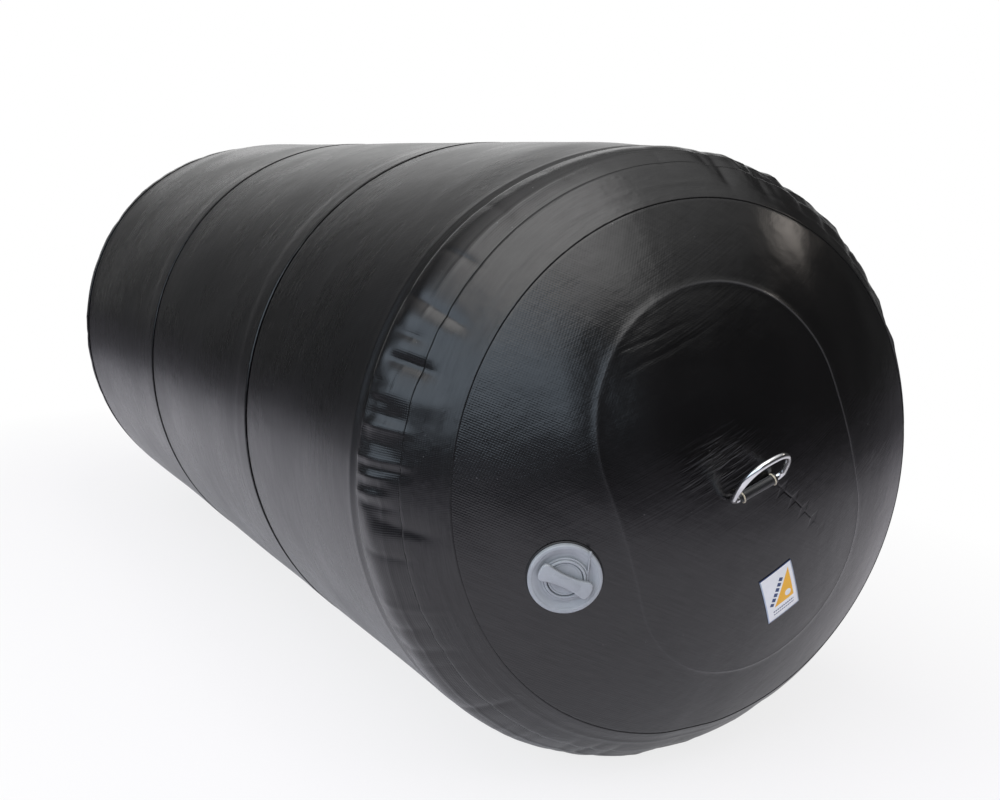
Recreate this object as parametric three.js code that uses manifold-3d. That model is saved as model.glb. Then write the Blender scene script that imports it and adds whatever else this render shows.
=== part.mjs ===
// Inflatable boat fender, lying on its side.
// Millimetres. +X runs along the tube towards the end with the valve, +Z is up.
// The origin is under the middle of the tube, on the flat that it lies on.

import * as THREE from 'three';
import { mergeVertices } from 'three/addons/utils/BufferGeometryUtils.js';
import Module from 'manifold-3d';

const wasm = await Module();
wasm.setup();

const degrees = THREE.MathUtils.degToRad;

// Driving dimensions of the tube
const bodyRadius = 305;
const seamPlaneSpan = 1386;
const restFlatWidth = 60;
const fabric = 1.0;
const layerGap = 0.3;
const tapeThickness = 1.0;
const neckInset = 4;
const neckLength = 78;
const shoulderLength = 76;
const shoulderDrop = 51;
const domeRise = 91;

// Widths along the shoulder, from the end seam towards the tube
const outerTapeWidth = 50;
const innerTapeStart = 20;
const innerTapeWidth = 50;
const bodyEdge = 35;
const skirtWidth = 105;
const ridgeOffset = 17;
const gatherHeight = 3.6;
const gatherCount = 56;
const gatherStart = 10;

// Welded laps between the three panels, measured from the valve end's seam plane
const nearLap = 419;
const farLap = 848;
const lapWidth = 38;
const joggleLength = 9;

// Facets: coarse columns all round, and finer ones where the skirt gathers
const columns = 40;
const finePerColumn = 6;

// Reinforcing patch under each end
const patchWidth = 252;
const patchLength = 372;
const patchThickness = 0.9;
const patchTilt = degrees(18.4);

// Ring and its strap
const ringWire = 6;
const ringInnerWidth = 50.8;
const ringInnerDepth = 41.4;
const ringJoint = 0.3;
const barHeight = 5.6;
const strapWidth = 41;
const strapThickness = 1.2;
const strapFoot = 20;
const footDrop = 2.8;
const threadThickness = 1.2;
const threadInset = 3;
const clearance = 0.3;
const nearRing = { y: -4.9, z: 6.2, barAngle: degrees(20.2), tilt: degrees(44) };
const farRing = { y: 0, z: 0, barAngle: 0, tilt: 0 };

// Valve
const valvePlace = { y: -168, z: -65 };
const flangeRadius = 32.5;
const flangeHeight = 5.6;
const lipWidth = 3.6;
const dishFloor = 2.2;
const collarRadius = 18.4;
const collarHeight = 5.8;
const boreRadius = 16;
const neckRadius = 17;
const neckDepth = 20;
const webDepth = 14;
const webThickness = 2;
const stemRadius = 2;
const airHoleRadius = 3.6;
const airHoleCircle = 9.5;
const airHoles = 5;
const nutRadius = 27;
const nutHeight = 6;
const nutDepth = 4.9;
const gasketThickness = 1.6;
const poppetHeadRadius = 4.6;
const poppetHeadDepth = 4;
const poppetHeadHeight = 1;
const diaphragmRadius = 12;
const diaphragmThickness = 1.2;
const springWire = 0.8;
const springTurns = 4;
const springRadius = 3.4;
const plugRadius = 13;
const plugDepth = 2.6;
const capDiscThickness = 3.2;
const capDiscTop = 4.6;
const wingLength = 49;
const wingEndWidth = 16;
const wingWaist = 10.6;
const wingHeight = 4.2;
const wingAngle = degrees(-21.6);
const leashThickness = 1.3;
const leashRingWidth = 1.6;
const leashRise = 8.8;
const leashReach = 34.5;
const leashTop = 5.9;

// Plain label plate on the valve end
const label = { y: 42.9, z: -101.5, width: 38, height: 55, turn: degrees(28.2), thickness: 0.4 };

// Values worked out from those
const restAngle = Math.asin(restFlatWidth / 2 / bodyRadius);
const axisHeight = bodyRadius * Math.cos(restAngle);
const seamPlane = seamPlaneSpan / 2;
const endSeamRadius = bodyRadius - shoulderDrop;
const neckRadiusOfTube = bodyRadius - neckInset;
const lapStep = fabric + layerGap;

const materials = {
  skin: new THREE.MeshStandardMaterial({ color: 0x29272a, roughness: 0.42, metalness: 0 }),
  tape: new THREE.MeshStandardMaterial({ color: 0x2c2a2e, roughness: 0.34, metalness: 0 }),
  patch: new THREE.MeshStandardMaterial({ color: 0x242326, roughness: 0.55, metalness: 0 }),
  webbing: new THREE.MeshStandardMaterial({ color: 0x1d1c1e, roughness: 0.7, metalness: 0 }),
  thread: new THREE.MeshStandardMaterial({ color: 0xd9d2bf, roughness: 0.8, metalness: 0 }),
  steel: new THREE.MeshStandardMaterial({ color: 0xd4d2cd, roughness: 0.18, metalness: 1 }),
  valve: new THREE.MeshStandardMaterial({ color: 0xa3aab5, roughness: 0.45, metalness: 0 }),
  rubber: new THREE.MeshStandardMaterial({ color: 0x1a1a1a, roughness: 0.8, metalness: 0 }),
  plate: new THREE.MeshStandardMaterial({ color: 0xe8eaee, roughness: 0.35, metalness: 0 }),
};

const fender = new THREE.Group();

// Welds a geometry's vertices, drops what has become flat and turns its faces outwards.
function closed(geometry) {
  const bare = geometry.clone();
  bare.deleteAttribute('normal');
  bare.deleteAttribute('uv');
  const welded = mergeVertices(bare, 1e-3);
  const index = welded.index.array;
  const place = welded.attributes.position;
  const corner = [new THREE.Vector3(), new THREE.Vector3(), new THREE.Vector3()];
  const kept = [];
  let volume = 0;
  for (let i = 0; i < index.length; i += 3) {
    const [a, b, c] = index.subarray(i, i + 3);
    if (a === b || b === c || c === a) {
      continue;
    }
    kept.push(a, b, c);
    corner.forEach((point, k) => point.fromBufferAttribute(place, index[i + k]));
    volume += corner[0].dot(corner[1].clone().cross(corner[2]));
  }
  if (volume < 0) {
    for (let i = 0; i < kept.length; i += 3) {
      [kept[i + 1], kept[i + 2]] = [kept[i + 2], kept[i + 1]];
    }
  }
  welded.setIndex(kept);
  return welded;
}

function toSolid(geometry) {
  const body = closed(geometry);
  return new wasm.Manifold(new wasm.Mesh({
    numProp: 3,
    vertProperties: Float32Array.from(body.attributes.position.array),
    triVerts: Uint32Array.from(body.index.array),
  }));
}

function fromSolid(solid) {
  const mesh = solid.getMesh();
  const geometry = new THREE.BufferGeometry();
  geometry.setAttribute('position', new THREE.BufferAttribute(Float32Array.from(mesh.vertProperties), 3));
  geometry.setIndex(Array.from(mesh.triVerts));
  return geometry;
}

function joined(...geometries) {
  return fromSolid(geometries.map(toSolid).reduce((whole, next) => whole.add(next)));
}

function cut(geometry, ...tools) {
  return fromSolid(tools.map(toSolid).reduce((whole, tool) => whole.subtract(tool), toSolid(geometry)));
}

function addPart(name, geometry, material, parent = fender) {
  const shown = closed(geometry);
  shown.computeVertexNormals();
  const mesh = new THREE.Mesh(shown, material);
  mesh.name = name;
  parent.add(mesh);
  return mesh;
}

// A closed ring turned about local Z, from (radius, height) pairs.
function turned(pairs, segments) {
  const outline = pairs.map(([radius, height]) => new THREE.Vector2(radius, height));
  outline.push(outline[0].clone());
  return new THREE.LatheGeometry(outline, segments).rotateX(Math.PI / 2);
}

function band(inner, outer, bottom, top, segments) {
  return turned([[inner, bottom], [outer, bottom], [outer, top], [inner, top]], segments);
}

// The skin's line at one end: how far back from the end seam's plane, and how far from the axis.
const neckPoint = new THREE.Vector2(skirtWidth + ridgeOffset, neckRadiusOfTube);
const shoulderPoint = new THREE.Vector2(shoulderLength, neckRadiusOfTube);
const seamPoint = new THREE.Vector2(0, endSeamRadius);
const shoulderCurve = new THREE.CubicBezierCurve(
  seamPoint,
  new THREE.Vector2(shoulderLength * 0.24, endSeamRadius + (neckRadiusOfTube - endSeamRadius) * 0.3),
  new THREE.Vector2(shoulderLength * 0.59, neckRadiusOfTube),
  shoulderPoint,
);
const neckLine = new THREE.LineCurve(shoulderPoint, neckPoint);

// A station is a point of the skin's line with its outward direction.
function shoulderStation(distance) {
  const curved = shoulderCurve.getLength();
  const onCurve = distance <= curved;
  const line = onCurve ? shoulderCurve : neckLine;
  const share = onCurve ? distance / curved : (distance - curved) / neckLine.getLength();
  const point = line.getPointAt(Math.min(share, 1));
  const along = line.getTangentAt(Math.min(share, 1));
  return { back: point.x, radius: point.y, out: new THREE.Vector2(-along.y, along.x) };
}

function domeStation(radius) {
  const share = radius / endSeamRadius;
  const slope = (2 * domeRise * share) / endSeamRadius;
  const out = new THREE.Vector2(-1, slope).normalize();
  return { back: -domeRise * (1 - share * share), radius, out };
}

function tubeStation(back, radius) {
  return { back, radius, out: new THREE.Vector2(0, 1) };
}

// A station moved along its outward direction; on the axis it only moves along the tube.
function shifted(station, distance) {
  const radius = station.radius + station.out.y * distance;
  return {
    ...station,
    back: station.back + station.out.x * distance,
    radius: station.radius === 0 ? 0 : radius,
  };
}

// Column angles, from straight down: the first two bound the flat that the fender lies on.
function columnAngle(column) {
  const pitch = (2 * Math.PI - 2 * restAngle) / (columns - 1);
  const turns = Math.floor(column / columns);
  return restAngle + (column - turns * columns) * pitch + turns * 2 * Math.PI;
}

// A point of a ring of given radius. Across the flat it lies on the chord.
function ringPoint(radius, angle) {
  const fromBelow = Math.atan2(Math.sin(angle), Math.cos(angle));
  const flat = Math.abs(fromBelow) < restAngle - 1e-6;
  const reach = flat ? (radius * Math.cos(restAngle)) / Math.cos(fromBelow) : radius;
  return new THREE.Vector2(reach * Math.sin(angle), axisHeight - reach * Math.cos(angle));
}

// Height of the skirt's irregular gathers at an angle, from 0 to 1.
function gathers(angle) {
  const wander = 1.9 * Math.sin(3 * angle + 0.4) + 1.1 * Math.sin(7 * angle + 2.1);
  const folds = 0.5 + 0.5 * Math.sin(gatherCount * angle + wander);
  const strength = 0.7 + 0.3 * Math.sin(5 * angle + 0.9);
  return folds * strength;
}

// Turns stations about the tube's axis. Smooth stretches use the coarse columns, and stations marked
// fine use them all and rise with the gathers.
function skin(stations, side) {
  const fine = stations.some((station) => station.fine);
  const step = fine ? finePerColumn : 1;
  const segments = columns * step;
  const outline = stations.map((station) => new THREE.Vector2(station.radius, station.back));
  const geometry = new THREE.LatheGeometry(outline, segments);
  const place = geometry.attributes.position;
  for (let i = 0; i <= segments; i += 1) {
    const column = Math.floor((i % segments) / step);
    const share = (i % step) / step;
    const low = columnAngle(column);
    const high = columnAngle(column + 1);
    stations.forEach((station, j) => {
      const angle = station.fine ? low + (high - low) * share : low;
      const lift = station.fine ? gatherHeight * station.fine * gathers(angle) : 0;
      const point = ringPoint(station.radius + lift, angle);
      place.setXYZ(i * stations.length + j, side * (seamPlane - station.back), point.x, point.y);
    });
  }
  return closed(geometry);
}

// A welded strip: its outer line and its inner line, closed on itself.
function strip(outer, inner) {
  return [...outer, ...[...inner].reverse(), outer[0]];
}

const domeShares = [0, 0.14, 0.36, 0.55, 0.74, 0.91];
const domeLine = domeShares.map((share) => domeStation(share * endSeamRadius));
const skirtStops = [0, innerTapeStart, bodyEdge, outerTapeWidth, innerTapeStart + innerTapeWidth, 88, skirtWidth];
const skirtLine = skirtStops.map(shoulderStation);
const capLine = [...domeLine, ...skirtLine];
const capInner = capLine.map((station) => shifted(station, -fabric));

// Gathers start past the outer tape and are highest at the skirt's edge.
function gathered(station, distance) {
  const from = outerTapeWidth + gatherStart;
  const fine = THREE.MathUtils.smoothstep(distance, from, skirtWidth);
  return fine > 0 ? { ...station, fine } : station;
}

function capGeometry(side) {
  const skirt = skirtLine.map((station, k) => gathered(station, skirtStops[k]));
  return skin([...domeLine, ...skirt, ...[...capInner].reverse()], side);
}

function outerTapeGeometry(side) {
  const stops = skirtStops.filter((distance) => distance <= outerTapeWidth);
  const line = stops.map(shoulderStation);
  const low = line.map((station) => shifted(station, layerGap));
  const high = line.map((station) => shifted(station, layerGap + tapeThickness));
  return skin(strip(high, low), side);
}

const bodyDepth = fabric + layerGap;

function innerTapeGeometry(side) {
  const depth = bodyDepth + fabric + layerGap;
  const stops = [innerTapeStart, bodyEdge, innerTapeStart + innerTapeWidth];
  const line = stops.map(shoulderStation);
  const high = line.map((station) => shifted(station, -depth));
  const low = line.map((station) => shifted(station, -depth - tapeThickness));
  return skin(strip(high, low), side);
}

// The end of a panel that goes under the skirt, from its edge to the full tube.
function panelEnd() {
  const under = [bodyEdge, innerTapeStart + innerTapeWidth, skirtWidth].map(shoulderStation);
  const neck = tubeStation(skirtWidth + ridgeOffset, neckRadiusOfTube);
  const full = tubeStation(skirtWidth + ridgeOffset + neckLength, bodyRadius);
  return [...under.map((station) => shifted(station, -bodyDepth)), neck, full];
}

// The end of a panel that goes under the next panel, stepped in by one layer.
function lappedEnd(edge) {
  return [
    tubeStation(edge - joggleLength, bodyRadius),
    tubeStation(edge, bodyRadius - lapStep),
    tubeStation(edge + lapWidth, bodyRadius - lapStep),
  ];
}

function panelGeometry(line, side) {
  return skin(strip(line, line.map((station) => shifted(station, -fabric))), side);
}

// Height of the skin's outer surface over the seam plane, at a point of the end.
function domeHeight(y, z) {
  return domeRise * (1 - (y * y + z * z) / endSeamRadius ** 2);
}

// Height of the faceted inner surface of the cap, never over it.
function underCap(y, z) {
  const radius = Math.hypot(y, z) / Math.cos(Math.PI / columns);
  const outer = capInner.findIndex((station) => station.radius > radius);
  const [a, b] = [capInner[outer - 1], capInner[outer]];
  const share = (radius - a.radius) / (b.radius - a.radius);
  return -(a.back + (b.back - a.back) * share);
}

// Distance from the patch's middle to its rim, in a direction.
function patchReach(angle) {
  const round = patchWidth / 2;
  const straight = (patchLength - patchWidth) / 2;
  const [across, along] = [Math.abs(Math.cos(angle)), Math.abs(Math.sin(angle))];
  if (along * round <= straight * across) {
    return round / across;
  }
  const inner = straight * along;
  return inner + Math.sqrt(inner * inner - straight * straight + round * round);
}

const patchSegments = 24;
const patchRings = [0, 0.14, 0.34, 0.56, 0.78, 1];

function patchGeometry(side) {
  const top = patchRings.map((share) => new THREE.Vector2(share, 1));
  const bottom = patchRings.map((share) => new THREE.Vector2(share, 0)).reverse();
  const geometry = new THREE.LatheGeometry([...top, ...bottom], patchSegments);
  const place = geometry.attributes.position;
  for (let i = 0; i < place.count; i += 1) {
    const share = Math.hypot(place.getX(i), place.getZ(i));
    const angle = Math.atan2(place.getZ(i), place.getX(i));
    const reach = share * patchReach(angle);
    const y = reach * Math.cos(angle + patchTilt);
    const z = reach * Math.sin(angle + patchTilt);
    const depth = clearance + (place.getY(i) > 0.5 ? 0 : patchThickness);
    place.setXYZ(i, side * (seamPlane + underCap(y, z) - depth), y, axisHeight + z);
  }
  return closed(geometry);
}

// A frame on an end's middle: local X along the ring's bar, local Y up the skin, local Z outwards.
function ringFrame(side, place) {
  const outward = new THREE.Vector3(side, 0, 0);
  const bar = new THREE.Vector3(0, Math.cos(place.barAngle), Math.sin(place.barAngle));
  const up = outward.clone().cross(bar);
  const frame = new THREE.Group();
  const height = domeHeight(place.y, place.z);
  frame.matrix.makeBasis(bar, up, outward);
  frame.matrix.setPosition(side * (seamPlane + height), place.y, axisHeight + place.z);
  frame.matrix.decompose(frame.position, frame.quaternion, frame.scale);
  fender.add(frame);
  return frame;
}

const wireRadius = ringWire / 2;
const ringHalfWidth = (ringInnerWidth + ringWire) / 2;
const ringDepth = ringInnerDepth + ringWire;
const ringSquareness = 2.6;
const ringCorner = 6.5;
const ringBowPoints = 13;

function ringGeometry() {
  const straight = strapWidth / 2 + 0.6;
  const cornerStart = ringHalfWidth - ringCorner;
  const turn = ringCorner * Math.SQRT1_2;
  const bar = [
    new THREE.Vector3(ringJoint / 2, 0, 0),
    new THREE.Vector3(straight / 2, 0, 0),
    new THREE.Vector3(straight, 0, 0),
    new THREE.Vector3(cornerStart, 0, 0),
    new THREE.Vector3(cornerStart + turn, ringCorner - turn, 0),
  ];
  const bow = [];
  for (let i = 0; i < ringBowPoints; i += 1) {
    const angle = degrees(9) + (degrees(162) * i) / (ringBowPoints - 1);
    const across = Math.abs(Math.cos(angle)) ** (2 / ringSquareness) * Math.sign(Math.cos(angle));
    const along = Math.sin(angle) ** (2 / ringSquareness);
    bow.push(new THREE.Vector3(ringHalfWidth * across, ringDepth * along, 0));
  }
  const barBack = [...bar].reverse().map((point) => new THREE.Vector3(-point.x, point.y, 0));
  const section = new THREE.Shape().absarc(0, 0, wireRadius, 0, 2 * Math.PI);
  const extrudePath = new THREE.CatmullRomCurve3([...bar, ...bow, ...barBack], false, 'centripetal');
  return new THREE.ExtrudeGeometry(section, { steps: 44, curveSegments: 5, extrudePath });
}

const loopInner = wireRadius + clearance;
const loopOuter = loopInner + strapThickness;
const stemHalf = strapThickness + clearance / 2;
const slotHalf = stemHalf + clearance;
const footTop = -(fabric + patchThickness + 2 * clearance + footDrop);

// The strap's section: a loop round the bar, a stem through the slot and two feet under the patch.
function strapGeometry() {
  const start = Math.asin(stemHalf / loopOuter) - Math.PI / 2;
  const section = new THREE.Shape();
  section.moveTo(strapFoot, footTop);
  section.lineTo(stemHalf, footTop);
  section.absarc(0, barHeight, loopOuter, start, Math.PI - start, false);
  section.lineTo(-stemHalf, footTop);
  section.lineTo(-strapFoot, footTop);
  section.lineTo(-strapFoot, footTop - strapThickness);
  section.lineTo(strapFoot, footTop - strapThickness);
  section.closePath();
  const bore = new THREE.Path().absarc(0, barHeight, loopInner, 0, 2 * Math.PI, true);
  section.holes.push(bore);
  const geometry = new THREE.ExtrudeGeometry(section, { depth: strapWidth, bevelEnabled: false, curveSegments: 8 });
  geometry.translate(0, 0, -strapWidth / 2);
  return geometry.rotateY(Math.PI / 2).rotateX(Math.PI / 2);
}

// A bar tack: a loop of thread over the strap, close to its end.
function threadGeometry(across) {
  const reach = loopOuter + clearance + threadThickness / 2;
  const points = [];
  const stops = 9;
  for (let i = 0; i < stops; i += 1) {
    const angle = degrees(-24) + (degrees(228) * i) / (stops - 1);
    points.push(new THREE.Vector3(across, reach * Math.cos(angle), barHeight + reach * Math.sin(angle)));
  }
  const section = new THREE.Shape().absarc(0, 0, threadThickness / 2, 0, 2 * Math.PI);
  const extrudePath = new THREE.CatmullRomCurve3(points);
  return new THREE.ExtrudeGeometry(section, { steps: 14, curveSegments: 3, extrudePath });
}

function addRing(end, side, place) {
  const frame = ringFrame(side, place);
  addPart(`ring_strap_${end}`, strapGeometry(), materials.webbing, frame);
  const across = strapWidth / 2 - threadInset;
  addPart(`bar_tack_${end}_1`, threadGeometry(-across), materials.thread, frame);
  addPart(`bar_tack_${end}_2`, threadGeometry(across), materials.thread, frame);
  const ring = addPart(`d_ring_${end}`, ringGeometry(), materials.steel, frame);
  ring.position.set(0, 0, barHeight);
  ring.rotation.x = place.tilt;
  frame.updateMatrixWorld(true);
  const slot = new THREE.BoxGeometry(strapWidth + 2 * clearance, 2 * slotHalf, 40);
  return slot.applyMatrix4(frame.matrixWorld);
}

// Valve: local Z points out of the skin, local X is level.
function valveFrame() {
  const { y, z } = valvePlace;
  const slope = (2 * domeRise) / endSeamRadius ** 2;
  const outward = new THREE.Vector3(1, slope * y, slope * z).normalize();
  const level = new THREE.Vector3(0, 1, 0).projectOnPlane(outward).normalize();
  const frame = new THREE.Group();
  frame.matrix.makeBasis(level, outward.clone().cross(level), outward);
  frame.matrix.setPosition(seamPlane + domeHeight(y, z), y, axisHeight + z);
  frame.matrix.decompose(frame.position, frame.quaternion, frame.scale);
  fender.add(frame);
  frame.updateMatrixWorld(true);
  return frame;
}

function cylinder(radius, bottom, top, segments, x = 0, y = 0) {
  const geometry = new THREE.CylinderGeometry(radius, radius, top - bottom, segments);
  return geometry.rotateX(Math.PI / 2).translate(x, y, (top + bottom) / 2);
}

const rimDrop = 0.6;
const lipInner = flangeRadius - lipWidth;
const guideRadius = stemRadius + clearance;

function valveBodyGeometry() {
  const web = -webDepth - webThickness;
  const shell = turned([
    [neckRadius, clearance],
    [flangeRadius - 1.5, clearance - rimDrop],
    [flangeRadius, clearance - rimDrop],
    [flangeRadius, flangeHeight - 1.3],
    [flangeRadius - 1.2, flangeHeight],
    [lipInner, flangeHeight],
    [lipInner - 0.7, flangeHeight - 0.8],
    [lipInner - 3, flangeHeight - 1.6],
    [lipInner - 5, dishFloor + 0.8],
    [collarRadius + 2, dishFloor],
    [collarRadius, dishFloor],
    [collarRadius, collarHeight],
    [boreRadius, collarHeight],
    [boreRadius, -webDepth],
    [guideRadius, -webDepth],
    [guideRadius, web],
    [neckRadius - 1.8, web],
    [neckRadius - 1.8, -neckDepth],
    [neckRadius, -neckDepth],
  ], 36);
  const holes = [];
  for (let i = 0; i < airHoles; i += 1) {
    const angle = (2 * Math.PI * i) / airHoles;
    const [x, y] = [airHoleCircle * Math.cos(angle), airHoleCircle * Math.sin(angle)];
    holes.push(cylinder(airHoleRadius, web - 1, -webDepth + 1, 10, x, y));
  }
  return cut(shell, ...holes);
}

function springGeometry(bottom, top) {
  const points = [];
  const stops = springTurns * 10;
  for (let i = 0; i <= stops; i += 1) {
    const angle = (2 * Math.PI * springTurns * i) / stops;
    const height = bottom + springWire / 2 + ((top - bottom - springWire) * i) / stops;
    points.push(new THREE.Vector3(springRadius * Math.cos(angle), springRadius * Math.sin(angle), height));
  }
  const section = new THREE.Shape().absarc(0, 0, springWire / 2, 0, 2 * Math.PI);
  const extrudePath = new THREE.CatmullRomCurve3(points);
  return new THREE.ExtrudeGeometry(section, { steps: springTurns * 12, curveSegments: 3, extrudePath });
}

// The cap's grip: a bar with a narrow waist and round ends.
function wingGeometry(bottom) {
  const half = wingLength / 2;
  const [end, waist] = [wingEndWidth / 2, wingWaist / 2];
  const shoulder = half - 5.5;
  const outline = new THREE.Shape();
  outline.moveTo(-shoulder, -end);
  outline.quadraticCurveTo(0, end - 2 * waist, shoulder, -end);
  outline.bezierCurveTo(half - 0.5, -end + 0.5, half, -3, half, 0);
  outline.bezierCurveTo(half, 3, half - 0.5, end - 0.5, shoulder, end);
  outline.quadraticCurveTo(0, 2 * waist - end, -shoulder, end);
  outline.bezierCurveTo(-half + 0.5, end - 0.5, -half, 3, -half, 0);
  outline.bezierCurveTo(-half, -3, -half + 0.5, -end + 0.5, -shoulder, -end);
  const geometry = new THREE.ExtrudeGeometry(outline, { depth: wingHeight, bevelEnabled: false, curveSegments: 5 });
  return geometry.rotateZ(wingAngle).translate(0, 0, bottom);
}

function valveCapGeometry() {
  const wingBottom = collarHeight + clearance + 0.1;
  const discRadius = boreRadius - 0.5;
  const disc = cylinder(discRadius, capDiscTop - capDiscThickness, capDiscTop, 30);
  const plug = cylinder(plugRadius, -plugDepth, capDiscTop - 1, 30);
  const web = new THREE.BoxGeometry(2 * plugRadius - 2, wingWaist - 2, wingBottom - capDiscTop + 2);
  web.rotateZ(wingAngle).translate(0, 0, (wingBottom + capDiscTop) / 2);
  return joined(disc, plug, web, wingGeometry(wingBottom));
}

// The leash: a ring round the collar and a thin upright strip that runs over the lip.
function leashGeometry() {
  const inner = collarRadius + clearance;
  const outer = inner + leashRingWidth;
  const bottom = dishFloor + clearance;
  const ring = band(inner, outer, bottom, bottom + 2, 30);
  const low = new THREE.Vector2(inner + leashRingWidth / 2, 0).rotateAround(new THREE.Vector2(), degrees(14));
  const run = Math.sqrt(leashReach ** 2 - low.x ** 2) - low.y;
  const overLip = flangeHeight + clearance;
  const lipStart = Math.sqrt((lipInner - 5.5) ** 2 - low.x ** 2) - low.y;
  const side = new THREE.Shape();
  side.moveTo(0, bottom + 0.1);
  side.lineTo(lipStart - 3, bottom + 1);
  side.lineTo(lipStart + 1, leashTop - 1.7);
  side.lineTo(lipStart + 5.5, overLip);
  side.lineTo(run, overLip);
  side.lineTo(run, leashRise);
  side.lineTo(lipStart + 7, leashRise);
  side.lineTo(lipStart + 3.4, leashTop);
  side.lineTo(lipStart - 2, leashTop);
  side.lineTo(0, leashTop - 1);
  const upright = new THREE.ExtrudeGeometry(side, { depth: leashThickness, bevelEnabled: false });
  upright.rotateX(Math.PI / 2).rotateZ(Math.PI / 2).translate(low.x - leashThickness / 2, low.y, 0);
  return joined(ring, upright);
}

function addValve() {
  const frame = valveFrame();
  const web = -webDepth - webThickness;
  const nutTop = -nutDepth;
  const diaphragmTop = web - clearance;
  const diaphragmBottom = diaphragmTop - diaphragmThickness;
  const headTop = -poppetHeadDepth;
  const headBottom = headTop - poppetHeadHeight;
  const nutBore = neckRadius + clearance;
  const sealInner = plugRadius + clearance;
  addPart('valve_body', valveBodyGeometry(), materials.valve, frame);
  const gasketTop = nutTop + clearance + gasketThickness;
  addPart('valve_gasket', band(nutBore, nutRadius - 1, nutTop + clearance, gasketTop, 24), materials.rubber, frame);
  addPart('valve_nut', band(nutBore, nutRadius, nutTop - nutHeight, nutTop, 24), materials.valve, frame);
  const poppet = joined(
    cylinder(stemRadius, diaphragmBottom - 1.5, headTop - 0.2, 12),
    cylinder(poppetHeadRadius, headBottom, headTop, 16),
    cylinder(stemRadius * 3, diaphragmBottom - 1.5, diaphragmBottom - clearance, 16),
  );
  addPart('valve_poppet', poppet, materials.valve, frame);
  const diaphragm = band(guideRadius, diaphragmRadius, diaphragmBottom, diaphragmTop, 24);
  addPart('valve_diaphragm', diaphragm, materials.rubber, frame);
  const spring = springGeometry(-webDepth + clearance, headBottom - clearance);
  addPart('valve_spring', spring, materials.steel, frame);
  addPart('valve_cap', valveCapGeometry(), materials.valve, frame);
  const sealTop = capDiscTop - capDiscThickness - clearance;
  addPart('valve_cap_seal', band(sealInner, boreRadius - clearance, sealTop - 2, sealTop, 24), materials.rubber, frame);
  addPart('valve_leash', leashGeometry(), materials.valve, frame);
  return cylinder(neckRadius + clearance, -30, 30, 24).applyMatrix4(frame.matrixWorld);
}

function labelGeometry() {
  const geometry = new THREE.BoxGeometry(label.width, label.height, label.thickness, 3, 4, 1);
  geometry.rotateZ(label.turn);
  const place = geometry.attributes.position;
  for (let i = 0; i < place.count; i += 1) {
    const y = label.y + place.getX(i);
    const z = label.z + place.getY(i);
    const lift = layerGap + label.thickness / 2 + place.getZ(i);
    place.setXYZ(i, seamPlane + domeHeight(y, z) + lift, y, axisHeight + z);
  }
  return geometry;
}

const ends = [
  { end: 'near', side: 1, ring: nearRing },
  { end: 'far', side: -1, ring: farRing },
];

const nearPanel = [...panelEnd(), ...lappedEnd(nearLap)];
const middlePanel = [tubeStation(nearLap + layerGap, bodyRadius), ...lappedEnd(farLap)];
const farPanel = [...panelEnd(), tubeStation(seamPlaneSpan - farLap - layerGap, bodyRadius)];
addPart('body_panel_near', panelGeometry(nearPanel, 1), materials.skin);
addPart('body_panel_middle', panelGeometry(middlePanel, 1), materials.skin);
addPart('body_panel_far', panelGeometry(farPanel, -1), materials.skin);

for (const { end, side, ring } of ends) {
  const openings = [addRing(end, side, ring)];
  const patch = cut(patchGeometry(side), openings[0]);
  if (side > 0) {
    openings.push(addValve());
  }
  addPart(`end_cap_${end}`, cut(capGeometry(side), ...openings), materials.skin);
  addPart(`shoulder_tape_${end}`, outerTapeGeometry(side), materials.tape);
  addPart(`inner_tape_${end}`, innerTapeGeometry(side), materials.tape);
  addPart(`ring_patch_${end}`, patch, materials.patch);
}

addPart('label_plate', labelGeometry(), materials.plate);

export default fender;
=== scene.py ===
# %% [markdown]
# # An inflated boat fender
#
# This lesson dresses a measured model of a boat fender: a tube of black coated fabric, welded from
# three panels, with a domed cap at each end, a steel ring on each cap and an air valve beside one of
# them. The measured model is a frame that stays as it is. The soft skin, the ring and the valve get
# finer pieces over it, and the pieces that nobody sees keep their plain shapes and get a finish.

# %% Load the measured model
import math
import random

import bmesh
import bpy
import numpy as np
from mathutils import Matrix, Vector


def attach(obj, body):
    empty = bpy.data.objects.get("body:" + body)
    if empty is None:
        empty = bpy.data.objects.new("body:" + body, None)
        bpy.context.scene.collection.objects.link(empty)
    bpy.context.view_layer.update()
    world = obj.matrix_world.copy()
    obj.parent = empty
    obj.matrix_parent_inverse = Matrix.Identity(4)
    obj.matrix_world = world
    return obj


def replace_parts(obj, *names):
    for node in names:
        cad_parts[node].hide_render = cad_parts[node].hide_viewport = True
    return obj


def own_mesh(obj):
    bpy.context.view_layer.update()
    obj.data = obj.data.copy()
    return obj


MM = 0.001
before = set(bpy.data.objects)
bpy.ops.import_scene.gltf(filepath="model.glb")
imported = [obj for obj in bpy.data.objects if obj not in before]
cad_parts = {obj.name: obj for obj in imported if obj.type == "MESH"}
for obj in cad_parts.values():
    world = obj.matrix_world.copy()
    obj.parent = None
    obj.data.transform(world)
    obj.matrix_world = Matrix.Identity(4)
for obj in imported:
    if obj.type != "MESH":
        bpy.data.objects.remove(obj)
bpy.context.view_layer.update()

# %% [markdown]
# ## Camera
#
# The photograph was taken from a little above the tube's axis, in front of the end with the valve.
# The place and the angle come from fitting circles of known size to the seams. A 50 mm lens on a
# 36 mm wide sensor gives the same perspective, so nothing has to be shifted or cropped.

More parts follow.
